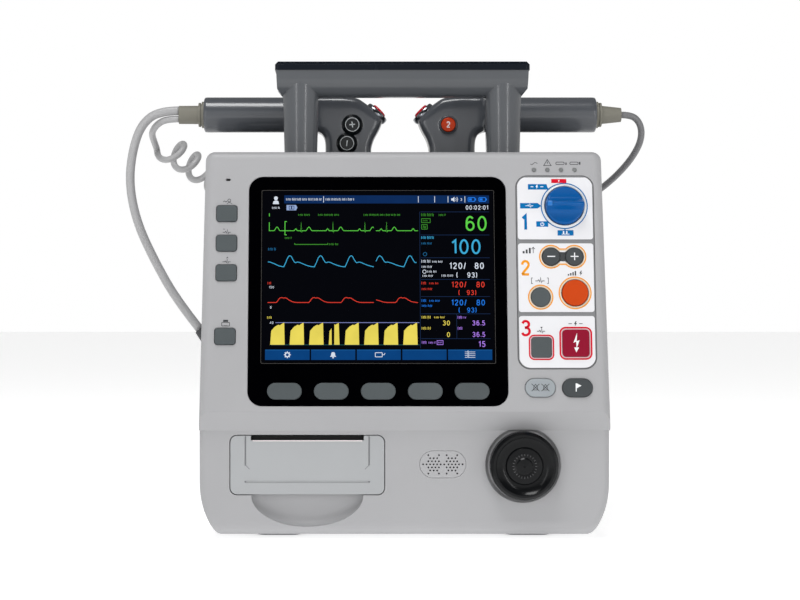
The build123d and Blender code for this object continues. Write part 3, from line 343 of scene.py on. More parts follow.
TRUNK_RADIUS, LINK_RADIUS = 0.0035, 0.00265
cord("trunk_cord", route_line(TRUNK), TRUNK_RADIUS, JACKET,
    24)
lead = route_line(LINK_LEFT)
cord("link_cord_left", lead, LINK_RADIUS, JACKET)
curl = helix_line(route_line(COIL, 80), lead[-1], (lead[-1] - lead[-2]).normalized())[::2]
cord("link_coil", curl, LINK_RADIUS, JACKET, 14)
# The right link cord is the same cord as the left lead and the coil, and takes the darker jacket: painted shade.
cord("link_cord_right", route_line(LINK_RIGHT), LINK_RADIUS, JACKET_PAINTED_SHADE)

# ---------------------------------------------------------------- finishes of the CAD nodes

FINISH = {HOUSING: ["front_housing", "rear_housing"], HOUSING_LOW: ["printer_drawer"], GRILLE: ["speaker_grille"],
    HANDLE: ["handle"], NAVY: ["handle_cap"], GLASS: ["display_glass"], MODULE: ["display_module"],
    FIELD: ["control_bezel"], PLATE: ["label_plates"], LENS: ["indicator_leds"], CONE: ["speaker"],
    FRAME: ["printer_mechanism"], BOARD: ["main_board"], CAN: ["hv_capacitor"],
    SOCKET: ["connector_panel", "therapy_socket", "mains_inlet", "trunk_plug"], FOOT: ["feet"],
    STEEL: ["housing_screws", "jog_shaft", "left_electrode", "right_electrode"],
    KEY_GREY: ["soft_key_%d" % n for n in range(1, 6)] + ["side_key_%d" % n for n in range(1, 5)] + ["analyze_key",
    "sync_key"], KEY_DARK: ["energy_down_key", "energy_up_key", "event_key"], KEY_LIGHT: ["alarm_key"],
    KEY_ORANGE: ["charge_key"], KEY_CRIMSON: ["shock_key"], DIAL: ["jog_knob"], ROLLER: ["platen_roller"],
    PAPER: ["paper_roll"], BATTERY: ["battery_a", "battery_b"], BUTTON_RED: ["left_shock_button",
    "right_shock_button"], BUTTON_BLACK: ["left_plus_button", "left_minus_button"],
    BUTTON_ORANGE: ["right_select_button"], RUBBER: ["left_cord_gland", "right_cord_gland"]}
for material, names in FINISH.items():
    for name in names:
        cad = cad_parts[name]
        for slot in cad.material_slots:
            slot.material = material

# ---------------------------------------------------------------- flat shapes on a face of the part

TILT = math.radians(9)


class Face:
    """A plane of the part: a point on it and its two directions. Shapes are given in millimetres."""

    def __init__(self, origin, across, up):
        self.origin = Vector(origin) * MM
        self.across = Vector(across).normalized()
        self.up = Vector(up).normalized()
        self.out = self.across.cross(self.up)

    def at(self, x, y, h=0.0):
        return self.origin + (self.across * x + self.up * y + self.out * h) * MM


PANEL = Face((0, -101, 94), (1, 0, 0), (0, math.sin(TILT), math.cos(TILT)))
LOWER = Face((0, -94, 0), (1, 0, 0), (0, 0, 1))


def oval(x, y, across, tall, count=12):
    turns = [2 * math.pi * k / count for k in range(count)]
    return [(x + across * math.cos(a), y + tall * math.sin(a)) for a in turns]


def circle(x, y, radius, count=48):
    return oval(x, y, radius, radius, count)


def arc(x, y, radius, angles):
    return [(x + radius * math.cos(a), y + radius * math.sin(a)) for a in angles]


def rounded(x, y, width, height, radius, count=8):
    found = []
    for corner, (sx, sy) in enumerate(((1, 1), (-1, 1), (-1, -1), (1, -1))):
        cx, cy = x + sx * (width / 2 - radius), y + sy * (height / 2 - radius)
        for k in range(count + 1):
            a = math.pi / 2 * (corner + k / count)
            found.append((cx + radius * math.cos(a), cy + radius * math.sin(a)))
    return found


def dumbbell(x1, x2, y, radius, web, count=40):
    """Two circles joined by a straight web."""
    a = math.asin(web / radius)
    right = [(-math.pi + a) + (2 * math.pi - 2 * a) * k / count for k in range(count + 1)]
    left = [a + (2 * math.pi - 2 * a) * k / count for k in range(count + 1)]
    return arc(x2, y, radius, right) + arc(x1, y, radius, left)


def sideways(points, closed):
    """The mitred sideways direction at each point of a line."""
    found = []
    for k, here in enumerate(points):
        before = points[k - 1] if k or closed else here
        after = points[(k + 1) % len(points)] if k + 1 < len(points) or closed else here
        one = Vector(here) - Vector(before)
        two = Vector(after) - Vector(here)
        one = one.normalized() if one.length > 1e-9 else two.normalized()
        two = two.normalized() if two.length > 1e-9 else one
        a, b = Vector((-one.y, one.x)), Vector((-two.y, two.x))
        mid = (a + b).normalized() if (a + b).length > 1e-6 else a
        found.append(mid / max(mid.dot(a), 0.45))
    return found


def flowing(points, closed, steps=5):
    """A smooth line through the points."""
    count = len(points)
    found = []
    for k in range(count if closed else count - 1):
        if closed:
            a, b, c, d = (points[(k + n) % count] for n in (-1, 0, 1, 2))
        else:
            a, b, c, d = points[max(k - 1, 0)], points[k], points[k + 1], points[min(k + 2, count - 1)]
        for n in range(steps):
            t = n / steps
            found.append(tuple(
                0.5 * (2 * q + (r - p) * t + (2 * p - 5 * q + 4 * r - w) * t * t + (3 * q - p - 3 * r + w) * t ** 3)
                for p, q, r, w in zip(a, b, c, d)
            ))
    return found if closed else found + [points[-1]]


SIX = [(0.53, 0.87), (0.42, 0.97), (0.28, 1.0), (0.13, 0.91), (0.04, 0.7), (0.02, 0.42)]
TWO = [(0.02, 0.74), (0.08, 0.9), (0.2, 0.99), (0.34, 0.99), (0.48, 0.93), (0.56, 0.8), (0.55, 0.66), (0.44, 0.49),
    (0.27, 0.31), (0.1, 0.12), (0.03, 0.0)]
THREE = [(0.04, 0.84), (0.14, 0.96), (0.28, 1.0), (0.44, 0.96), (0.54, 0.84), (0.53, 0.68), (0.42, 0.57),
    (0.22, 0.53)]
LOW_BOWL = [(0.22, 0.53), (0.4, 0.52), (0.55, 0.42), (0.6, 0.27), (0.54, 0.11), (0.4, 0.02), (0.24, 0.0), (0.1, 0.05),
    (0.02, 0.17)]
FIVE = [(0.08, 0.52), (0.2, 0.6), (0.36, 0.61), (0.51, 0.53), (0.59, 0.36), (0.56, 0.16), (0.44, 0.03), (0.27, 0.0),
    (0.11, 0.05), (0.02, 0.17)]

# Kinds of stroke: smooth or not, closed or not
LINE, CURVE, LOOP = (False, False), (True, False), (True, True)
# Each sign: its width over its height, and its strokes
GLYPHS = {"0": (0.6, [(LOOP, oval(0.3, 0.5, 0.3, 0.5))]), "1": (0.34,
    [(LINE, [(0.0, 0.8), (0.32, 0.99), (0.34, 0.0)])]), "2": (0.6, [(CURVE, TWO), (LINE, [(0.0, 0.0), (0.6, 0.0)])]),
    "3": (0.6, [(CURVE, THREE), (CURVE, LOW_BOWL)]), "4": (0.62, [(LINE,
    [(0.47, 0.0), (0.47, 1.0), (0.02, 0.3), (0.62, 0.3)])]), "5": (0.6,
    [(LINE, [(0.56, 1.0), (0.12, 1.0), (0.08, 0.52)]), (CURVE, FIVE)]),
    "6": (0.6, [(CURVE, SIX), (LOOP, oval(0.31, 0.31, 0.29, 0.31))]), "8": (0.6,
    [(LOOP, oval(0.3, 0.76, 0.25, 0.24)), (LOOP, oval(0.3, 0.27, 0.3, 0.27))]),
    "9": (0.6, [(CURVE, [(0.6 - a, 1 - b) for a, b in SIX]), (LOOP, oval(0.29, 0.69, 0.29, 0.31))]),
    "/": (0.36, [(LINE, [(0.0, -0.06), (0.36, 1.06)])]), "(": (0.2, [(CURVE,
    [(0.2, 1.08), (0.06, 0.85), (0.0, 0.5), (0.06, 0.15), (0.2, -0.08)])]),
    ")": (0.2, [(CURVE, [(0.0, 1.08), (0.14, 0.85), (0.2, 0.5), (0.14, 0.15), (0.0, -0.08)])]),
    ":": (0.1, [(LINE, [(0.05, 0.16), (0.05, 0.3)]), (LINE, [(0.05, 0.66), (0.05, 0.8)])]),
    ".": (0.1, [(LINE, [(0.05, 0.0), (0.05, 0.12)])])}


class Print:
    """Thin shapes of one colour on one face, joined into one piece."""

    def __init__(self, face, height, thick=0.06):
        self.face, self.height, self.thick = face, height, thick
        self.mesh = bmesh.new()

    def fill(self, outline):
        top = [self.mesh.verts.new(self.face.at(x, y, self.height + self.thick)) for x, y in outline]
        low = [self.mesh.verts.new(self.face.at(x, y, self.height)) for x, y in outline]
        self.mesh.faces.new(top)
        bridge(self.mesh, (low, top))
        return self

    def block(self, left, top, right, low):
        return self.fill([(left, low), (right, low), (right, top), (left, top)])

    def band(self, outer, inner, closed=True):
        """The strip between two lines of the same number of points."""
        rows = []
        for line, high in ((outer, 0), (outer, 1), (inner, 1), (inner, 0)):
            rows.append([self.mesh.verts.new(self.face.at(x, y, self.height + self.thick * high)) for x, y in line])
        bridge(self.mesh, rows, closed)
        return self

    def stroke(self, points, width, closed=False):
        sides = sideways(points, closed)
        left = [(p[0] + s.x * width / 2, p[1] + s.y * width / 2) for p, s in zip(points, sides)]
        right = [(p[0] - s.x * width / 2, p[1] - s.y * width / 2) for p, s in zip(points, sides)]
        return self.band(left, right, closed)

    def text(self, words, x, y, height, align="CENTER", weight=0.15, up=1):
        """Digits and signs, drawn as strokes, centred on y."""
        gap = weight + 0.07
        wide = sum(GLYPHS[c][0] + gap for c in words) - gap
        left = {"LEFT": x, "CENTER": x - wide * height / 2, "RIGHT": x - wide * height}[align]
        for c in words:
            width, lines = GLYPHS[c]
            for (smooth, closed), points in lines:
                spots = flowing(points, closed) if smooth else points
                spots = [(left + (a * (1 - weight / max(width, 0.3)) + weight / 2) * height,
                    y + up * (b * (1 - weight) + weight / 2 - 0.5) * height) for a, b in spots]
                self.stroke(spots, weight * height, closed)
            left += (width + gap) * height
        return self

    def fills(self, *outlines):
        for outline in outlines:
            self.fill(outline)

    def strokes(self, width, *lines):
        for line in lines:
            self.stroke(line, width)

    def texts(self, *rows):
        for row in rows:
            self.text(*row)

    def done(self, name, material, body="housing", slot="plate_white"):
        bmesh.ops.recalc_face_normals(self.mesh, faces=self.mesh.faces)
        return settle(finish_mesh(name, self.mesh, material), body)


# ---------------------------------------------------------------- screen

SCREEN_LEFT, SCREEN_TOP = -104.5, 164


class Screen(Face):
    """The display's own plane: millimetres from its top left corner, y running down."""

    def at(self, x, y, h=0):
        return PANEL.at(SCREEN_LEFT + x, SCREEN_TOP - y, h)


SCREEN = Screen((0, 0, 0), (1, 0, 0), (0, 0, 1))
TOP = 0.32  # the height of the lit shapes over the panel


class Shown(Print):
    """Lit shapes on the display, whose y runs down."""

    def __init__(self, height=TOP, thick=0.04):
        super().__init__(SCREEN, height, thick)

    def text(self, words, x, y, height, align="CENTER", weight=0.14, up=-1):
        return super().text(words, x, y, height, align, weight, up)

    def words(self, left, right, y, height=1.5):
        """Fine upright strokes where a line of writing would be."""
        x = left
        step = 0
        while x < right - 0.2:
            tall = height * (0.5, 0.36, 0.5, 0.4)[step % 4]
            self.block(x, y - tall, x + 0.34, y + height * 0.42)
            if step % 3 == 1:
                self.block(x + 0.34, y - tall, x + 0.7, y - tall + 0.3)
            x += (0.82, 0.94, 0.8, 1.5)[step % 4] if step % 7 else 1.1
            step += 1
        return self

    def lines(self, *rows):
        for row in rows:
            self.words(*row)

    def lit(self, name, colour):
        return self.done("screen_" + name, glow(name, colour), slot="glass_black")


Shown(TOP - 0.01, 0.02).block(0, 0, 170.4, 127.8).lit("face", (2, 3, 6))
edge = Shown(TOP, 0.03)
edge.band(rounded(85.2, 63.9, 172.2, 129.6, 1.2), rounded(85.2, 63.9, 171.4, 128.8, 1))
edge.done("screen_edge", shader("screen_edge_line", (34, 32, 28), rough=0.4, grain=0.02), slot="glass_black")

bar = Shown(TOP, 0.03)
bar.block(15.9, 3, 167.6, 9.1)
bar.lit("bar", (12, 44, 92))
tabs = Shown(TOP, 0.03)
TABS = ((2.4, 35), (36.1, 68.4), (69.6, 101.7), (102.9, 135.2), (136.3, 168.6))
for left, right in TABS:
    tabs.block(left, 118.4, right, 125.9)
tabs.lit("tabs", (8, 66, 126))
tab_edges = Shown(TOP + 0.03, 0.02)
for left, right in TABS:
    tab_edges.block(left, 118.4, right, 118.75)
tab_edges.lit("tab_edges", (30, 104, 172))

rules = Shown(TOP, 0.03)
for y in (15.5, 32.9, 50, 66.2, 79, 91.8, 110.2):
    rules.block(116.8, y - 0.16, 167.6, y + 0.16)
rules.block(116, 15.4, 116.3, 117.2)
rules.block(142.7, 91.8, 143, 110.2)
rules.lit("rules", (28, 48, 84))


def bump(x, centre, half, high):
    d = abs(x - centre) / half
    return high * 0.5 * (1 + math.cos(math.pi * d)) if d < 1 else 0


BEATS = [28.5, 52, 75.6, 91.6]
BASE = 29.7


def ecg(x):
    y = BASE
    for beat in BEATS:
        y -= bump(x, beat - 4, 1.3, 1.5) + bump(x, beat + 5.7, 2.4, 2.8)
    y -= bump(x, 10.6, 2.4, 2.8) + bump(x, 111.2, 1.4, 1.6)
    return y


def ecg_line(left, right):
    points = []
    x = left
    while x < right:
        points.append((x, ecg(x)))
        x += 0.45
    points.append((right, ecg(right)))
    for beat in BEATS:
        if left < beat < right:
            points = [p for p in points if abs(p[0] - beat) > 0.6]
            points += [(beat - 0.55, BASE), (beat - 0.4, BASE + 0.5), (beat, BASE - 6.3), (beat + 0.4, BASE + 0.9),
                (beat + 0.6, BASE)]
    return sorted(points)


green = Shown()
green.stroke([(4.9, 23.4), (4.9, BASE), (5.4, BASE)], 0.5)
green.stroke(ecg_line(5.2, 82.1), 0.5)
green.stroke(ecg_line(83.7, 114.7), 0.5)
green.stroke([(17.8, 22.8), (16.5, 22.8), (16.5, 32.8), (17.8, 32.8)], 0.55)
green.stroke([(4.9, 16.6), (4.9, 18.9)], 0.5)
green.text("60", 165.6, 24.2, 11.3, "RIGHT", 0.12)
green.lit("green", (96, 214, 74))
dim_green = Shown(TOP, 0.035)
for left, right in ((26.3, 34.8), (41, 57.4), (74.7, 101.4)):
    dim_green.words(left, right, 17.8, 1.5)
dim_green.words(16.5, 21.6, 35.2, 1.6)
dim_green.stroke([(23.8, 39), (23.8, 40), (48.2, 40), (48.2, 39)], 0.5)
dim_green.lines((49.2, 56, 39.9, 1.5), (117.3, 126.4, 17.8, 2.3), (130.3, 135.6, 17.9, 1.6))
dim_green.band(rounded(120.7, 22.1, 6.8, 3.4, 0.4), rounded(120.7, 22.1, 6, 2.6, 0.3))
dim_green.words(118.6, 122.9, 22.1, 1.3)
dim_green.band(rounded(119.6, 26.8, 4.6, 3.8, 0.4), rounded(119.6, 26.8, 3.8, 3, 0.3))
dim_green.stroke([(118.5, 27.6), (119.2, 25.9), (120, 27.8), (120.7, 26.2)], 0.4)
dim_green.lit("green_dim", (66, 150, 48))

PULSE = [(0, 56.8), (1.5, 53.6), (2.7, 50.4), (3.9, 48.7), (4.7, 48.5), (5.5, 49), (6.7, 51.3), (7.9, 53.2),
    (8.6, 53.7), (9.4, 53.4), (10.4, 53.2), (11.8, 53.5), (14.2, 54.6), (17.2, 55.8), (20.2, 56.6), (22.6, 56.8)]


def pulses(starts, left, right):
    found = []
    for start in starts:
        found += [(start + x, y) for x, y in PULSE[:-1]]
    return [p for p in found if left <= p[0] <= right]


cyan = Shown()
cyan.stroke([(4.1, 53.1), (5.6, 53.2), (8.6, 54.4), (12.2, 56.1)] + pulses([15.7, 38.3, 60.9], 15, 81) + [(82, 56.8)],
    0.55)
cyan.stroke([(83.8, 52.6), (84.8, 50.2), (86, 48.6), (86.9, 48.6), (88, 49.6), (89.5, 52.2), (90.6, 53.4),
    (92.4, 53.2), (95, 53.9), (99, 55.5), (102.4, 56.5)] + pulses([104.2], 104, 114.5), 0.55)
cyan.text("100", 160.9, 41.7, 11.2, "RIGHT", 0.12)
cyan.words(117.2, 126.4, 34.9, 2.2)
cyan.lit("cyan", (64, 176, 222))
dim_cyan = Shown(TOP, 0.035)
dim_cyan.lines((4.2, 10, 43.6, 2.1), (117.4, 124.8, 39.3, 1.6))
dim_cyan.stroke(arc(119.9, 47.3, 1.3, [a / 3 for a in range(19)]), 0.35, closed=True)
dim_cyan.lit("cyan_dim", (36, 110, 160))

WAVE = [(0, 83.4), (0.9, 82.6), (2, 80.8), (3, 79.9), (4.2, 79.7), (5.2, 80.1), (6.3, 79.9), (7.6, 80.2), (9.2, 81.4),
    (11.6, 82.7), (13.9, 83.3), (16.2, 83.4), (23.4, 83.4)]
red = Shown()
line = [(4, 83.4)]
for start in (10.3, 34.2, 57.9):
    line += [(start + x, y) for x, y in WAVE[:-1]]
line = [p for p in line if p[0] < 81.8] + [(82, 83.4)]
red.stroke(line, 0.55)
red.stroke([(83.7, 81.4), (86.3, 82.1), (89.2, 83.1), (92, 83.4)] + [(98 + x, y) for x,
    y in WAVE[:-3]] + [(112.2, 83.2), (114.5, 83.5)], 0.55)
red.texts(("120/", 150.2, 70, 4.3, "RIGHT"), ("80", 163.6, 70, 4.3, "RIGHT"), ("(", 144.7, 76, 3.7),
    ("93)", 157.2, 76, 3.7, "RIGHT"))
red.lines((117.2, 120.9, 69, 2.2), (122.9, 129.6, 69.2, 1.4), (117.4, 124.8, 73.4, 1.7), (4, 7, 69, 2))
red.lit("red", (224, 62, 48))

white = Shown(TOP + 0.04, 0.04)
white.fill(circle(9.7, 5.2, 1.45, 20))
white.fill([(7.4, 9.6), (12, 9.6), (11.6, 7.6), (10.6, 6.9), (8.8, 6.9), (7.8, 7.6)])
white.lines((6.9, 12.4, 12.5, 1.7), (17.3, 43.6, 6.1, 1.9), (46.6, 68, 6.1, 1.9))
for x in (45, 115.2, 127.3, 137.2, 149.7):
    white.block(x - 0.22, 3.7, x + 0.22, 8.4)
white.fill([(139.6, 5.3), (140.6, 5.3), (142, 4.1), (142, 8.1), (140.6, 6.9), (139.6, 6.9)])
white.strokes(0.4, [(142.8, 5), (143.3, 6.1), (142.8, 7.2)], [(143.8, 4.3), (144.4, 6.1), (143.8, 7.9)])
white.texts(("3", 147, 6.1, 2), ("00:02:01", 166.8, 12.2, 3.3, "RIGHT"), ("120/", 150, 56, 4.8, "RIGHT"),
    ("80", 163.2, 56, 4.8, "RIGHT"), ("(", 143.3, 62.9, 3.9), ("93)", 158, 62.9, 3.9, "RIGHT"))
white.lines((117.2, 124.2, 52.7, 2.3), (125.2, 132.4, 53, 1.5), (117.4, 124.8, 56.8, 1.7))
white.stroke(arc(119.4, 60.4, 1.3, [a / 3 for a in range(19)]), 0.4, closed=True)
white.lines((121.6, 128.6, 60.4, 1.6), (118, 126, 63.6, 1.6), (132, 140.6, 63.4, 1.7))
white.texts(("0", 6.4, 87, 1.9), ("40", 7, 98.4, 1.9), ("150", 6.8, 72, 1.8))
# tab marks: a gear, a bell, a cuff, and four lead lines
white.band(circle(18.7, 122.1, 1.9, 16), circle(18.7, 122.1, 1.1, 16))
for k in range(8):
    a = math.pi / 4 * k
    white.stroke(arc(18.7, 122.1, 1.7, [a]) + arc(18.7, 122.1, 2.5, [a]), 0.7)
white.fill([(49.9, 123.6), (54.5, 123.6), (53.7, 122.6), (53.6, 121.2), (53, 120.2), (51.4, 120.2), (50.8, 121.2),
    (50.7, 122.6)])
white.fill(circle(52.2, 124.2, 0.6, 12))
white.band(rounded(85.6, 122.1, 5.6, 3.6, 0.7), rounded(85.6, 122.1, 4.6, 2.6, 0.4))
white.stroke([(88.4, 122.1), (89.6, 122.1), (90.2, 120.8)], 0.45)
for k in range(4):
    y = 120 + 1.35 * k
    white.stroke([(148.6, y), (150.4, y), (150.9, y - 0.8), (151.4, y + 0.3), (151.8, y), (156.2, y)], 0.35)
white.lit("white", (220, 228, 240))

blue = Shown(TOP + 0.04, 0.04)
blue.texts(("120/", 150.2, 83.4, 4.4, "RIGHT"), ("80", 163.7, 83.4, 4.4, "RIGHT"), ("(", 144.7, 89, 3.7),
    ("93)", 157.3, 89, 3.7, "RIGHT"))
blue.lines((117.2, 120.9, 82, 2.2), (122.9, 131, 82.2, 1.5), (117.4, 124.8, 85.9, 1.7))
for x in (154.6, 162.6):
    blue.band(rounded(x, 6.1, 5.6, 3.4, 0.9), rounded(x, 6.1, 4.5, 2.3, 0.5))
    blue.block(x - 1.9, 5.3, x + 0.2, 6.9)
    blue.block(x + 2.8, 5.4, x + 3.4, 6.8)
blue.lit("blue", (34, 122, 232))

badge = Shown()
badge.fill([(17.6, 10.3), (24.6, 10.3), (25.6, 12.3), (24.6, 14.3), (17.6, 14.3)])
badge.lit("badge", (150, 172, 214))
dark = Shown(TOP + 0.04, 0.03)
dark.band(rounded(21.3, 12.3, 4, 2.8, 0.5), rounded(21.3, 12.3, 3.2, 2, 0.4))
dark.block(20.9, 10.9, 21.7, 13.7)
dark.lit("badge_mark", (24, 40, 84))

yellow = Shown()
for left in (6.1, 20.3, 34.6, 60.7, 74.9, 89.2, 103.5):
    yellow.fill([(left, 114.7), (left + 0.7, 104.4), (left + 3.2, 101.5), (left + 5.8, 99.9), (left + 7, 100.3),
        (left + 9.6, 98.5), (left + 10.2, 98.4), (left + 10.6, 114.7)])
yellow.fills([(49, 114.7), (49.6, 104.6), (51, 102.6), (51.2, 114.7)],
    [(53, 114.7), (53.1, 99.4), (53.7, 100), (56.3, 98.5), (56.9, 114.7)])
yellow.texts(("30", 137.8, 98.6, 3.7, "RIGHT"), ("0", 137.8, 107.2, 3.7, "RIGHT"))
yellow.lines((117.2, 124, 94.4, 2.1), (126.4, 133.8, 94.5, 1.4), (117.2, 124.2, 102.6, 2.1), (3.8, 8, 94.6, 2))
yellow.lit("yellow", (236, 218, 92))

purple = Shown()
purple.texts(("36.5", 163.6, 98.6, 3.7, "RIGHT"), ("36.5", 163.6, 107.1, 3.7, "RIGHT"),
    ("15", 163.7, 114.2, 4.3, "RIGHT"))
purple.lines((143.6, 147.2, 94.5, 2.2), (148, 150, 94.6, 1.5), (143.6, 147.2, 102.6, 2.2), (117.2, 121.4, 113, 2.2),
    (122.2, 127, 113.2, 1.5))
purple.band(rounded(130.5, 113.1, 4.8, 3.4, 0.4), rounded(130.5, 113.1, 4, 2.6, 0.3))
purple.words(129.1, 132, 113.1, 1.3)
purple.lit("purple", (176, 128, 240))

lavender = Shown(TOP - 0.005, 0.03)
lavender.block(9.9, 98.1, 115.4, 98.55)
lavender.lit("lavender", (130, 138, 196))
teal = Shown(TOP - 0.005, 0.03)
teal.block(6.1, 114.6, 115.4, 114.95)
teal.lit("teal", (40, 92, 96))

# ---------------------------------------------------------------- print on the control field

PLATE_TOP = 0.82


def ring(target, x, y, radius, width):
    target.band(circle(x, y, radius + width / 2, 72), circle(x, y, radius - width / 2, 72))


def frame_band(target, x, y, width, height, radius, line):
    target.band(rounded(x, y, width + line, height + line, radius + line / 2),
        rounded(x, y, width - line, height - line, max(radius - line / 2, 0.2)))


KNOB_AT = (118.7, 152.9)
ENERGY_X, ENERGY_Y = (108.3, 125.5), 114.7
blues = Print(PANEL, PLATE_TOP)
ring(blues, *KNOB_AT, 17.05, 0.75)
blues.fills([(92, 169.4), (92, 165.3), (107.6, 165.3), (108.4, 164.4), (106.4, 167.2), (105.8, 169.4)],
    [(86, 155.1), (86, 151), (99, 151), (101.6, 152.9), (99, 155.1)], [(97.8, 141.3), (97.8, 137.2), (106.6, 137.2),
    (106.6, 139.8), (107.8, 141), (106.2, 141.3)], [(113.4, 134.6), (113.4, 130.6), (125.2, 130.6), (125.2, 134.6),
    (119.6, 134.6), (118.9, 136), (118.2, 134.6)])
blues.text("1", 88.9, 140.3, 12.6, "CENTER", 0.17)
blues.done("print_blue", INK_BLUE)

reds = Print(PANEL, PLATE_TOP)
reds.fill([(109.4, 173.3), (109.4, 170.3), (118, 170.3), (118.8, 169.7), (119.6, 170.3), (120.6, 170.3),
    (120.6, 173.3)])
reds.text("3", 88.9, 61.5, 12.2, "CENTER", 0.15)
frame_band(reds, 100.2, 47.3, 17.6, 17.8, 3.6, 1)
frame_band(reds, 125.4, 50.3, 22.9, 23.2, 4.2, 1.2)
reds.done("print_red", INK_RED)
pinks = Print(PANEL, PLATE_TOP - 0.005, 0.04)
frame_band(pinks, 100.2, 47.3, 15.9, 16.1, 2.9, 0.7)
frame_band(pinks, 125.4, 50.3, 20.9, 21.2, 3.4, 0.9)
pinks.done("print_pink", INK_PINK)

oranges = Print(PANEL, PLATE_TOP)
oranges.band(dumbbell(*ENERGY_X, ENERGY_Y, 8.9, 6.2), dumbbell(*ENERGY_X, ENERGY_Y, 8, 5.3))
ring(oranges, 100.2, 84.5, 8.9, 0.9)
ring(oranges, 125.5, 87.7, 11.7, 0.9)
oranges.text("2", 89.3, 106.4, 11.6, "CENTER", 0.15)
oranges.done("print_orange", INK_ORANGE)
creams = Print(PANEL, PLATE_TOP - 0.005, 0.04)
creams.band(dumbbell(*ENERGY_X, ENERGY_Y, 7.9, 5.2), dumbbell(*ENERGY_X, ENERGY_Y, 7.1, 4.4))
ring(creams, 100.2, 84.5, 7.9, 0.9)
ring(creams, 125.5, 87.7, 10.7, 0.9)
creams.done("print_cream", INK_CREAM)

# The dark well between the two energy keys
web = Print(PANEL, 0.35, 0.3)
curve = arc(0, 0, 6.95, [k * 0.09 for k in range(-6, 7)])
web.fill([(ENERGY_X[1] - x, ENERGY_Y + y) for x, y in curve] + [(ENERGY_X[0] + x, ENERGY_Y - y) for x, y in curve])
web.done("energy_web", shader("web_dark", (44, 48, 50), rough=0.45, grain=0.1), slot="key_grey")


def trace(target, x, y, scale, width, kind="beat"):
    """A small heart trace."""
    shapes = {"beat": [(-3, 0), (-1.4, 0), (-0.9, 0.7), (-0.4, 0), (0, -0.6), (0.5, 2.2), (1, -1.2), (1.4, 0),
        (3, 0)], "spikes": [(-3, -0.8), (-1.8, -0.8), (-1.8, 1.4), (-1.3, 1.4), (-1.3, -0.8), (0.7, -0.8), (0.7, 1.4),
        (1.2, 1.4), (1.2, -0.8), (3, -0.8)], "wave": [(-3, -0.2), (-2.4, -0.9), (-1.6, -1), (-0.8, -0.3), (0, 0.4),
        (0.8, 0.9), (1.6, 0.9), (2.4, 0.5), (3, -0.1)]}
    target.stroke([(x + scale * a, y + scale * b) for a, b in shapes[kind]], width)


def bolt(target, x, y, scale):
    """A broad lightning mark."""
    shape = [(0.2, 2.6), (-1.5, -0.3), (-0.2, -0.3), (-0.7, -2.6), (1.5, 0.5), (0.2, 0.5), (1.1, 2.6)]
    target.fill([(x + scale * a, y + scale * b) for a, b in shape])


# Marks in the tags: white on the coloured print
marks = Print(PANEL, PLATE_TOP + 0.07, 0.03)
trace(marks, 92.8, 153, 0.95, 0.42)
bolt(marks, 98.6, 167.4, 0.62)
marks.strokes(0.5, [(96, 167.4), (94, 167.4)], [(101.2, 167.4), (103.4, 167.4)])
marks.strokes(0.42, arc(102.2, 139.1, 1.2, [math.pi * (0.68 + 1.64 * k / 14) for k in range(15)]),
    [(102.2, 140.7), (102.2, 139.2)])
trace(marks, 119.3, 132.4, 0.95, 0.42, "spikes")
bolt(marks, 115, 171.8, 0.42)
marks.done("print_tag_marks", INK_WHITE)

# Dark marks over the keys, in place of writing
darks = Print(PANEL, PLATE_TOP)
trace(darks, 99.8, 96.6, 1.15, 0.5)
darks.strokes(0.45, [(94.6, 98.8), (93.6, 98.8), (93.6, 94.6), (94.6, 94.6)],
    [(105, 98.8), (106, 98.8), (106, 94.6), (105, 94.6)])
for k in range(4):
    darks.block(120.4 + 1.7 * k, 101.7 + 0.75 * k, 121.4 + 1.7 * k, 100.6)
bolt(darks, 130, 102.4, 0.72)
trace(darks, 100, 59.2, 1, 0.48)
darks.fill([(99.5, 62.4), (101.3, 62.4), (100.4, 61.2)])
bolt(darks, 125.4, 64.8, 0.74)
darks.strokes(0.5, [(120.2, 64.8), (122.8, 64.8)], [(128, 64.8), (130.6, 64.8)])
for k in range(3):
    darks.block(87.4 + 2.3 * k, 118.9 + 1.2 * k, 88.8 + 2.3 * k, 117.2)
darks.strokes(0.45, [(95.2, 117.4), (95.2, 121.6)], [(94, 120.4), (95.2, 121.8), (96.4, 120.4)])
darks.done("print_dark", INK)

# Marks over the side keys and the lamps, printed on the housing
side = Print(PANEL, 0, 0.05)
side.stroke([(-133.9 + 1 * k, 156 + (0.9 if k % 2 else 0)) for k in range(4)], 0.42)
side.stroke(arc(-129.4, 157.2, 1.1, [a / 2 for a in range(13)]), 0.42, closed=True)
side.stroke([(-131.2, 154.6), (-129.4, 156), (-127.2, 154.6)], 0.42)
trace(side, -131, 133.2, 1, 0.45)
side.stroke([(-133.8, 135.6), (-132.4, 135.6)], 0.4)
trace(side, -131, 111, 1, 0.45)
side.stroke([(-131, 113.6), (-130.4, 114.6), (-129.8, 113.6)], 0.4)
side.band(rounded(-131.2, 64.5, 6.2, 3, 0.5), rounded(-131.2, 64.5, 5.3, 2.1, 0.3))
side.block(-133, 67.8, -129.4, 66.2)
side.stroke([(-132.6, 63.4), (-129.8, 63.4)], 0.4)
trace(side, 96.8, 185.2, 0.85, 0.4, "wave")
side.stroke([(104, 183.7), (106.8, 188.2), (109.6, 183.7)], 0.45, closed=True)
side.stroke([(106.8, 186.6), (106.8, 185.1)], 0.5)
for x, tail in ((116.6, 0), (127, 1)):
    side.band(rounded(x - 0.4, 185.4, 6.6, 2.3, 1), rounded(x - 0.4, 185.4, 5.7, 1.4, 0.6))
    if tail:
        side.block(x + 3.3, 186.5, x + 4.4, 184.4)
    else:
        side.fill([(x + 3.4, 184.4), (x + 4.8, 184.4), (x + 4.1, 186.6)])
side.done("print_housing", INK, slot="housing_plastic")
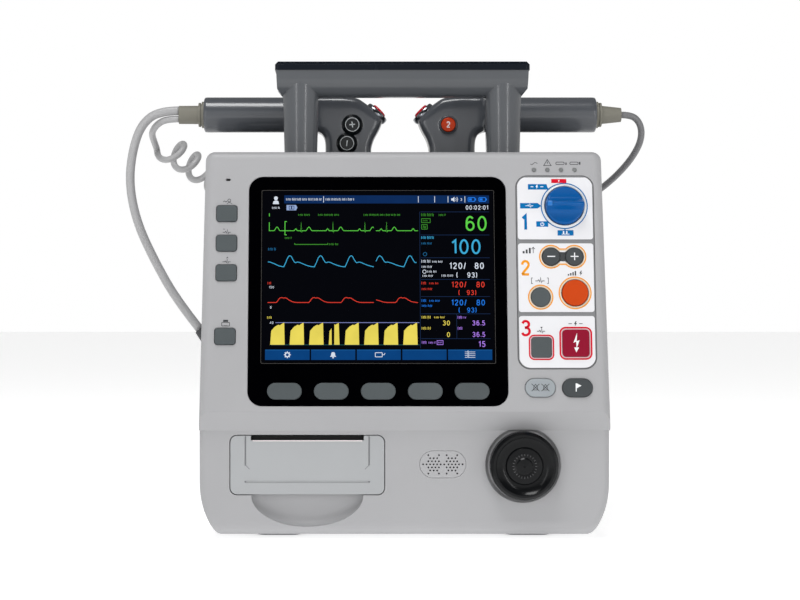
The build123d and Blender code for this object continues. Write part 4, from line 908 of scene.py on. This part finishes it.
# A near-black sheet set inside the microphone slot: painted shade in the hole, not a part of its own.
microphone = Print(PANEL, -2.5, 0.3)
microphone.fill(rounded(-130.3, 172.9, 3.3, 1.7, 0.8))
microphone.done("microphone_slot_painted_shade", HOLE_SHADE, slot="speaker_black")

# Marks on the keys, which move with them
for name, x in zip(("energy_down_key", "energy_up_key"), ENERGY_X):
    mark = Print(PANEL, 2.2, 0.05)
    mark.stroke([(x - 2.9, ENERGY_Y), (x + 2.9, ENERGY_Y)], 0.75)
    if "up" in name:
        mark.block(x - 0.37, 117.5, x + 0.37, 111.9)
    mark.done(name + "_mark", INK_WHITE, name, "key_grey")
mark = Print(PANEL, 2.6, 0.05)
mark.fills([(126.2, 57.8), (123.4, 50.4), (125.5, 51.4), (125.6, 46), (127.9, 52.4), (125.8, 51.6)],
    [(123.9, 47), (127.5, 47), (125.4, 43.4)])
mark.done("shock_key_mark", INK_WHITE, "shock_key", "key_crimson")
mark = Print(PANEL, 1.6, 0.05)
for x in (95.3, 102.5):
    mark.stroke([(x - 1.9, 15.9), (x - 1.4, 16.6), (x - 1.2, 18.6), (x, 20), (x + 1.2, 18.6), (x + 1.4, 16.6),
        (x + 1.9, 15.9)], 0.42, closed=True)
    mark.stroke([(x - 2.9, 15), (x + 2.9, 20.4)], 0.42)
    mark.stroke([(x - 2.9, 20.4), (x + 2.9, 15)], 0.42)
mark.done("alarm_key_mark", INK, "alarm_key", "key_light")
mark = Print(PANEL, 1.6, 0.05)
mark.stroke([(124.9, 14.7), (124.9, 20.7)], 0.7)
mark.fill([(125.2, 20.9), (125.2, 17.1), (128.8, 19)])
mark.done("event_key_mark", INK_WHITE, "event_key", "key_grey")

# ---------------------------------------------------------------- mode knob

KNOB_RADIUS, KNOB_LOW, RIDGE, ROUNDING = 14.2, 3.7, 8.3, 1.6


def ridge(px):
    """How high the grip ridge stands at a distance along it."""
    return RIDGE * (1 - 0.16 * (px / KNOB_RADIUS) ** 2)


def rounding(past):
    """How far the rim has curved down, by the share of the rounding that is passed."""
    return ROUNDING * (1 - math.sqrt(max(0.0, 1 - max(0.0, past) ** 2)))


def knob(name, body, spokes=96, rings=26):
    """A round knob with a finger hollow on each side of one grip ridge, which points left."""
    mesh = bmesh.new()
    rows = []
    for k in range(rings + 1):
        r = KNOB_RADIUS * (k / rings) ** 0.9
        row = []
        for px, py in circle(0, 0, r, spokes):
            across = abs(py) / KNOB_RADIUS
            high = KNOB_LOW + ridge(px) / (1 + (across / 0.2) ** 3.2) + 0.9 * across ** 3
            high -= rounding((r - (KNOB_RADIUS - 1.3)) / 1.3)
            row.append(mesh.verts.new(PANEL.at(KNOB_AT[0] + px, KNOB_AT[1] + py, high)))
            if k == 0:
                break
        rows.append(row)
    skirt = [mesh.verts.new(PANEL.at(x, y, -0.6)) for x, y in circle(*KNOB_AT, KNOB_RADIUS, spokes)]
    for s in range(spokes):
        mesh.faces.new((rows[0][0], rows[1][s], rows[1][(s + 1) % spokes]))
    for one, two in zip(rows[1:], rows[2:] + [skirt]):
        for s in range(spokes):
            n = (s + 1) % spokes
            mesh.faces.new((one[s], two[s], two[n], one[n]))
    return settle(finish_mesh(name, mesh, KNOB, smooth=True), body)


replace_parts(knob("mode_knob_cap", "mode_knob"), "mode_knob")
pointer = bmesh.new()
strip = []
for k in range(9):
    px = -13.3 + 3.4 * k / 8
    high = KNOB_LOW + ridge(px) + 0.12 - rounding((abs(px) - 12.9) / 1.3)
    strip.append([pointer.verts.new(PANEL.at(KNOB_AT[0] + px, KNOB_AT[1] + w, high)) for w in (-1.9, -0.9, 0.9, 1.9)])
for one, two in zip(strip, strip[1:]):
    for k in range(3):
        pointer.faces.new((one[k], one[k + 1], two[k + 1], two[k]))
pointer_mark = finish_mesh("mode_knob_pointer", pointer, KNOB_MARK, smooth=True)
solid = pointer_mark.modifiers.new("thick", "SOLIDIFY")
solid.thickness = 0.00025
settle(pointer_mark, "mode_knob")

# ---------------------------------------------------------------- printer, grille and dial details

lines = Print(LOWER, 0.0, 0.05)
lines.strokes(0.4, [(-116.4, 76.0), (-116.4, 54.6), (-113.4, 51.6)], [(-26.0, 76.0), (-26.0, 54.6), (-29.0, 51.6)])
for x in (-116.6, -25.8):
    lines.fill(circle(x, 42.4, 0.7, 16))
lines.done("door_lines", GROOVE, "printer_drawer", "housing_plastic")
strip = Print(LOWER, -3.4, 3.5)
strip.block(-111.2, 72.75, -31.0, 72.15)
strip.done("paper_edge", PAPER, "printer_drawer", "paper")
shade = Print(LOWER, -3.9, 0.2)
shade.block(-112.2, 75.9, -30.0, 72.8)
shade.done("slot_shade", HOLE_SHADE, "printer_drawer", "printer_frame")

ticks = Print(LOWER, 12.95, 0.08)
for k in range(24):
    a = math.pi * k / 12
    ticks.stroke(arc(86.8, 54.8, 7.6, [a]) + arc(86.8, 54.8, 9.0, [a]), 0.34)
ticks.done("dial_ticks", shader("dial_tick", (70, 70, 72), rough=0.3, grain=0.03), "jog_knob", "dial_black")


def turned(name, centre, axis, profile, material, body, sides=64):
    """A piece turned about an axis: profile is radius and height in millimetres."""
    mesh = bmesh.new()
    axis = Vector(axis).normalized()
    one = axis.orthogonal().normalized()
    two = axis.cross(one)
    rows = []
    for r, h in profile:
        rows.append([
            mesh.verts.new(Vector(centre) * MM + (one * math.cos(a) * r + two * math.sin(a) * r + axis * h) * MM)
            for a in [2 * math.pi * k / sides for k in range(sides)]
        ])
    bridge(mesh, rows)
    made = finish_mesh(name, mesh, material, smooth=True)
    made.data.set_sharp_from_angle(angle=math.radians(40))
    return settle(made, body)


for side_name, side in (("left", -1), ("right", 1)):
    turned(side_name + "_shock_ring", (side * 19.0, 30, 323.7), (-side, 0, 1),
        [(6.75, -1.2), (6.75, 2.2), (7.2, 2.8), (8.9, 2.8), (9.6, 2.2), (9.9, 0.6), (9.9, -0.9), (9.4, -2.0)],
        CHROME_RING, side_name + "_paddle")

turned("knob_ring", PANEL.at(*KNOB_AT) / MM, PANEL.out, [(14.75, 0.4), (14.75, 1.5), (15.1, 1.9), (15.9, 1.7),
    (16.6, 0.86), (16.75, 0.7)], RING_LIGHT, "housing", 96)

# ---------------------------------------------------------------- paddles: the CAD shape, its edges flowed smooth

def baked(made):
    """The mesh that the modifiers make takes their place."""
    bpy.context.view_layer.update()
    mesh = bpy.data.meshes.new_from_object(made.evaluated_get(bpy.context.evaluated_depsgraph_get()))
    made.modifiers.clear()
    made.data = mesh
    return mesh


NECK_END = 56  # how far out the grip's neck ends, in mm
WELL_TOP = 0.274  # the height, in m, under which lies the part that rests in the well

for paddle in ("left_paddle", "right_paddle"):
    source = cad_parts[paddle]
    shell = bpy.data.objects.new(paddle + "_shell", source.data.copy())
    scene.collection.objects.link(shell)
    shell.matrix_world = source.matrix_world.copy()
    remesh = shell.modifiers.new("remesh", "REMESH")
    remesh.mode = "VOXEL"
    remesh.voxel_size = 0.0011
    mesh = baked(shell)
    soft = shell.vertex_groups.new(name="soft")
    for vertex in mesh.vertices:
        place = shell.matrix_world @ vertex.co
        away = abs(place.x) / MM
        neck = min(1.0, max(0.0, 1 - (away - NECK_END) / 10))
        if place.z < WELL_TOP:
            neck = 0.5
        soft.add([vertex.index], max(neck, 0.3), "REPLACE")
    smooth = shell.modifiers.new("smooth", "SMOOTH")
    smooth.factor = 0.6
    smooth.iterations = 34
    smooth.vertex_group = "soft"
    mesh = baked(shell)
    mesh.polygons.foreach_set("use_smooth", [True] * len(mesh.polygons))
    mesh.materials.clear()
    mesh.materials.append(PADDLE)
    settle(shell, paddle)
    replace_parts(shell, paddle)

NECK = Face((0, 16, 0), (1, 0, 0), (0, 0, 1))
for name, x, z, turn in (("left_plus_button", -38.0, 313.9, 0.12), ("left_minus_button", -42.2, 299.2, 1.45)):
    mark = Print(NECK, 2.3, 0.06)
    for a in ((turn, turn + math.pi / 2) if "plus" in name else (turn,)):
        dx, dz = math.cos(a), math.sin(a)
        mark.stroke([(x - 2.3 * dx, z - 2.3 * dz), (x + 2.3 * dx, z + 2.3 * dz)], 0.75)
    mark.band(circle(x, z, 5.5, 40), circle(x, z, 5.1, 40))
    mark.done(name + "_mark", INK_WHITE if "x" in name else shader(name + "_ink", (196, 200, 202), rough=0.4,
        grain=0.03), name, "button_black")
mark = Print(NECK, 2.3, 0.06)
mark.text("2", 37.8, 313.9, 5.0)
mark.done("right_select_button_mark", INK_WHITE, "right_select_button", "button_orange")
for name, x, z, radius in (("left_plus_rim", -38.0, 313.9, 6.5), ("left_minus_rim", -42.2, 299.2, 6.5),
    ("right_select_rim", 37.8, 313.9, 5.6)):
    turned(name, (x, 16, z), (0, -1, 0), [(radius + 0.35, -1.5), (radius + 0.35, 0.9), (radius + 0.8, 1.2),
        (radius + 1.5, 0.7), (radius + 1.9, -0.6)], BUTTON_BLACK if "left" in name else PADDLE,
        name.split("_")[0] + "_paddle", 48)

# ---------------------------------------------------------------- rear and side details

SOCKET_AT = [(y, z) for y in (4, 42) for z in (92, 142, 192)]
RING_COLOURS = [(150, 150, 154), (44, 108, 170), (70, 140, 84), (196, 62, 52), (214, 168, 60), (112, 84, 160)]
for number, ((y, z), colour) in enumerate(zip(SOCKET_AT, RING_COLOURS), 1):
    turned("socket_ring_%d" % number, (147, y, z), (1, 0, 0), [(6.15, 0.05), (6.3, 0.45), (8.2, 0.45), (8.6, 0.05)],
        shader("socket_colour_%d" % number, colour, rough=0.4, grain=0.06), "housing", 40)
pins = bmesh.new()
for y, z in SOCKET_AT:
    for k in range(7):
        dy, dz = (0, 0) if k == 6 else (3.2 * math.cos(math.pi * k / 3), 3.2 * math.sin(math.pi * k / 3))
        low = [pins.verts.new(mm(140.6, *spot)) for spot in circle(y + dy, z + dz, 0.55, 8)]
        top = [pins.verts.new(mm(144.2, *spot)) for spot in circle(y + dy, z + dz, 0.42, 8)]
        pins.faces.new(top)
        bridge(pins, (low, top))
pins = finish_mesh("socket_pins", pins, shader("pin_gold", (206, 170, 92), rough=0.25, metal=1, grain=0.03))
settle(pins, "housing")

for name, side in (("battery_a", 1), ("battery_b", -1)):
    ribs = Print(Face((0, 88, 0), (-1, 0, 0), (0, 0, 1)), 0.0, 0.5)
    for k in range(5):
        ribs.fill(rounded(-side * 45, 27.5 + 2.6 * k, 40, 1.1, 0.5, 4))
    ribs.done(name + "_ribs", BATTERY, name, "battery_case")

# ---------------------------------------------------------------- floor, light

FLOOR = shader("floor_white", (243.44, 243.44, 243.44), rough=0.7, specular=0.05, vary=0.004, patch=3)
surface = FLOOR.node_tree.nodes["Principled BSDF"]
surface.inputs["Emission Color"].default_value = (1, 1, 1, 1)
surface.inputs["Emission Strength"].default_value = 0.62
floor_mesh = bmesh.new()
for x, y in ((-6, -3), (6, -3), (6, 9), (-6, 9)):
    floor_mesh.verts.new((x, y, -0.0002))
floor_mesh.faces.new(floor_mesh.verts)
floor = finish_mesh("floor", floor_mesh, FLOOR)

world = bpy.data.worlds.new("studio")
scene.world = world
world.use_nodes = True
back = world.node_tree.nodes["Background"]
back.inputs["Color"].default_value = (1, 1, 1, 1)
# White all round at eye level, and dimmer overhead
heading = node(world.node_tree, "ShaderNodeTexCoord")
parts = node(world.node_tree, "ShaderNodeSeparateXYZ")
height = node(world.node_tree, "ShaderNodeMapRange", interpolation_type="SMOOTHSTEP")
for socket, value in (("From Min", 0.18), ("From Max", 0.5), ("To Min", 1.0), ("To Max", 0.2)):
    height.inputs[socket].default_value = value
world.node_tree.links.new(heading.outputs["Generated"], parts.inputs["Vector"])
world.node_tree.links.new(parts.outputs["Z"], height.inputs["Value"])
world.node_tree.links.new(height.outputs["Result"], back.inputs["Strength"])


def area(name, at, aim, size, power):
    data = bpy.data.lights.new(name, "AREA")
    data.shape = "RECTANGLE"
    data.size, data.size_y = size
    data.energy = power
    lamp = bpy.data.objects.new(name, data)
    scene.collection.objects.link(lamp)
    lamp.location = at
    lamp.rotation_euler = (Vector(aim) - Vector(at)).to_track_quat("-Z", "Y").to_euler()
    return lamp


area("key", (-0.3, -0.8, 2.1), (0, -0.1, 0.15), (1.0, 0.7), 26)
area("strip_right", (0.75, -1.5, 0.5), (0.05, 0, 0.3), (0.08, 1.1), 3.2)
area("strip_left", (-0.8, -1.5, 0.5), (-0.05, 0, 0.3), (0.12, 1.1), 2.6)
scene.view_settings.view_transform = "Standard"
scene.view_settings.look = "None"
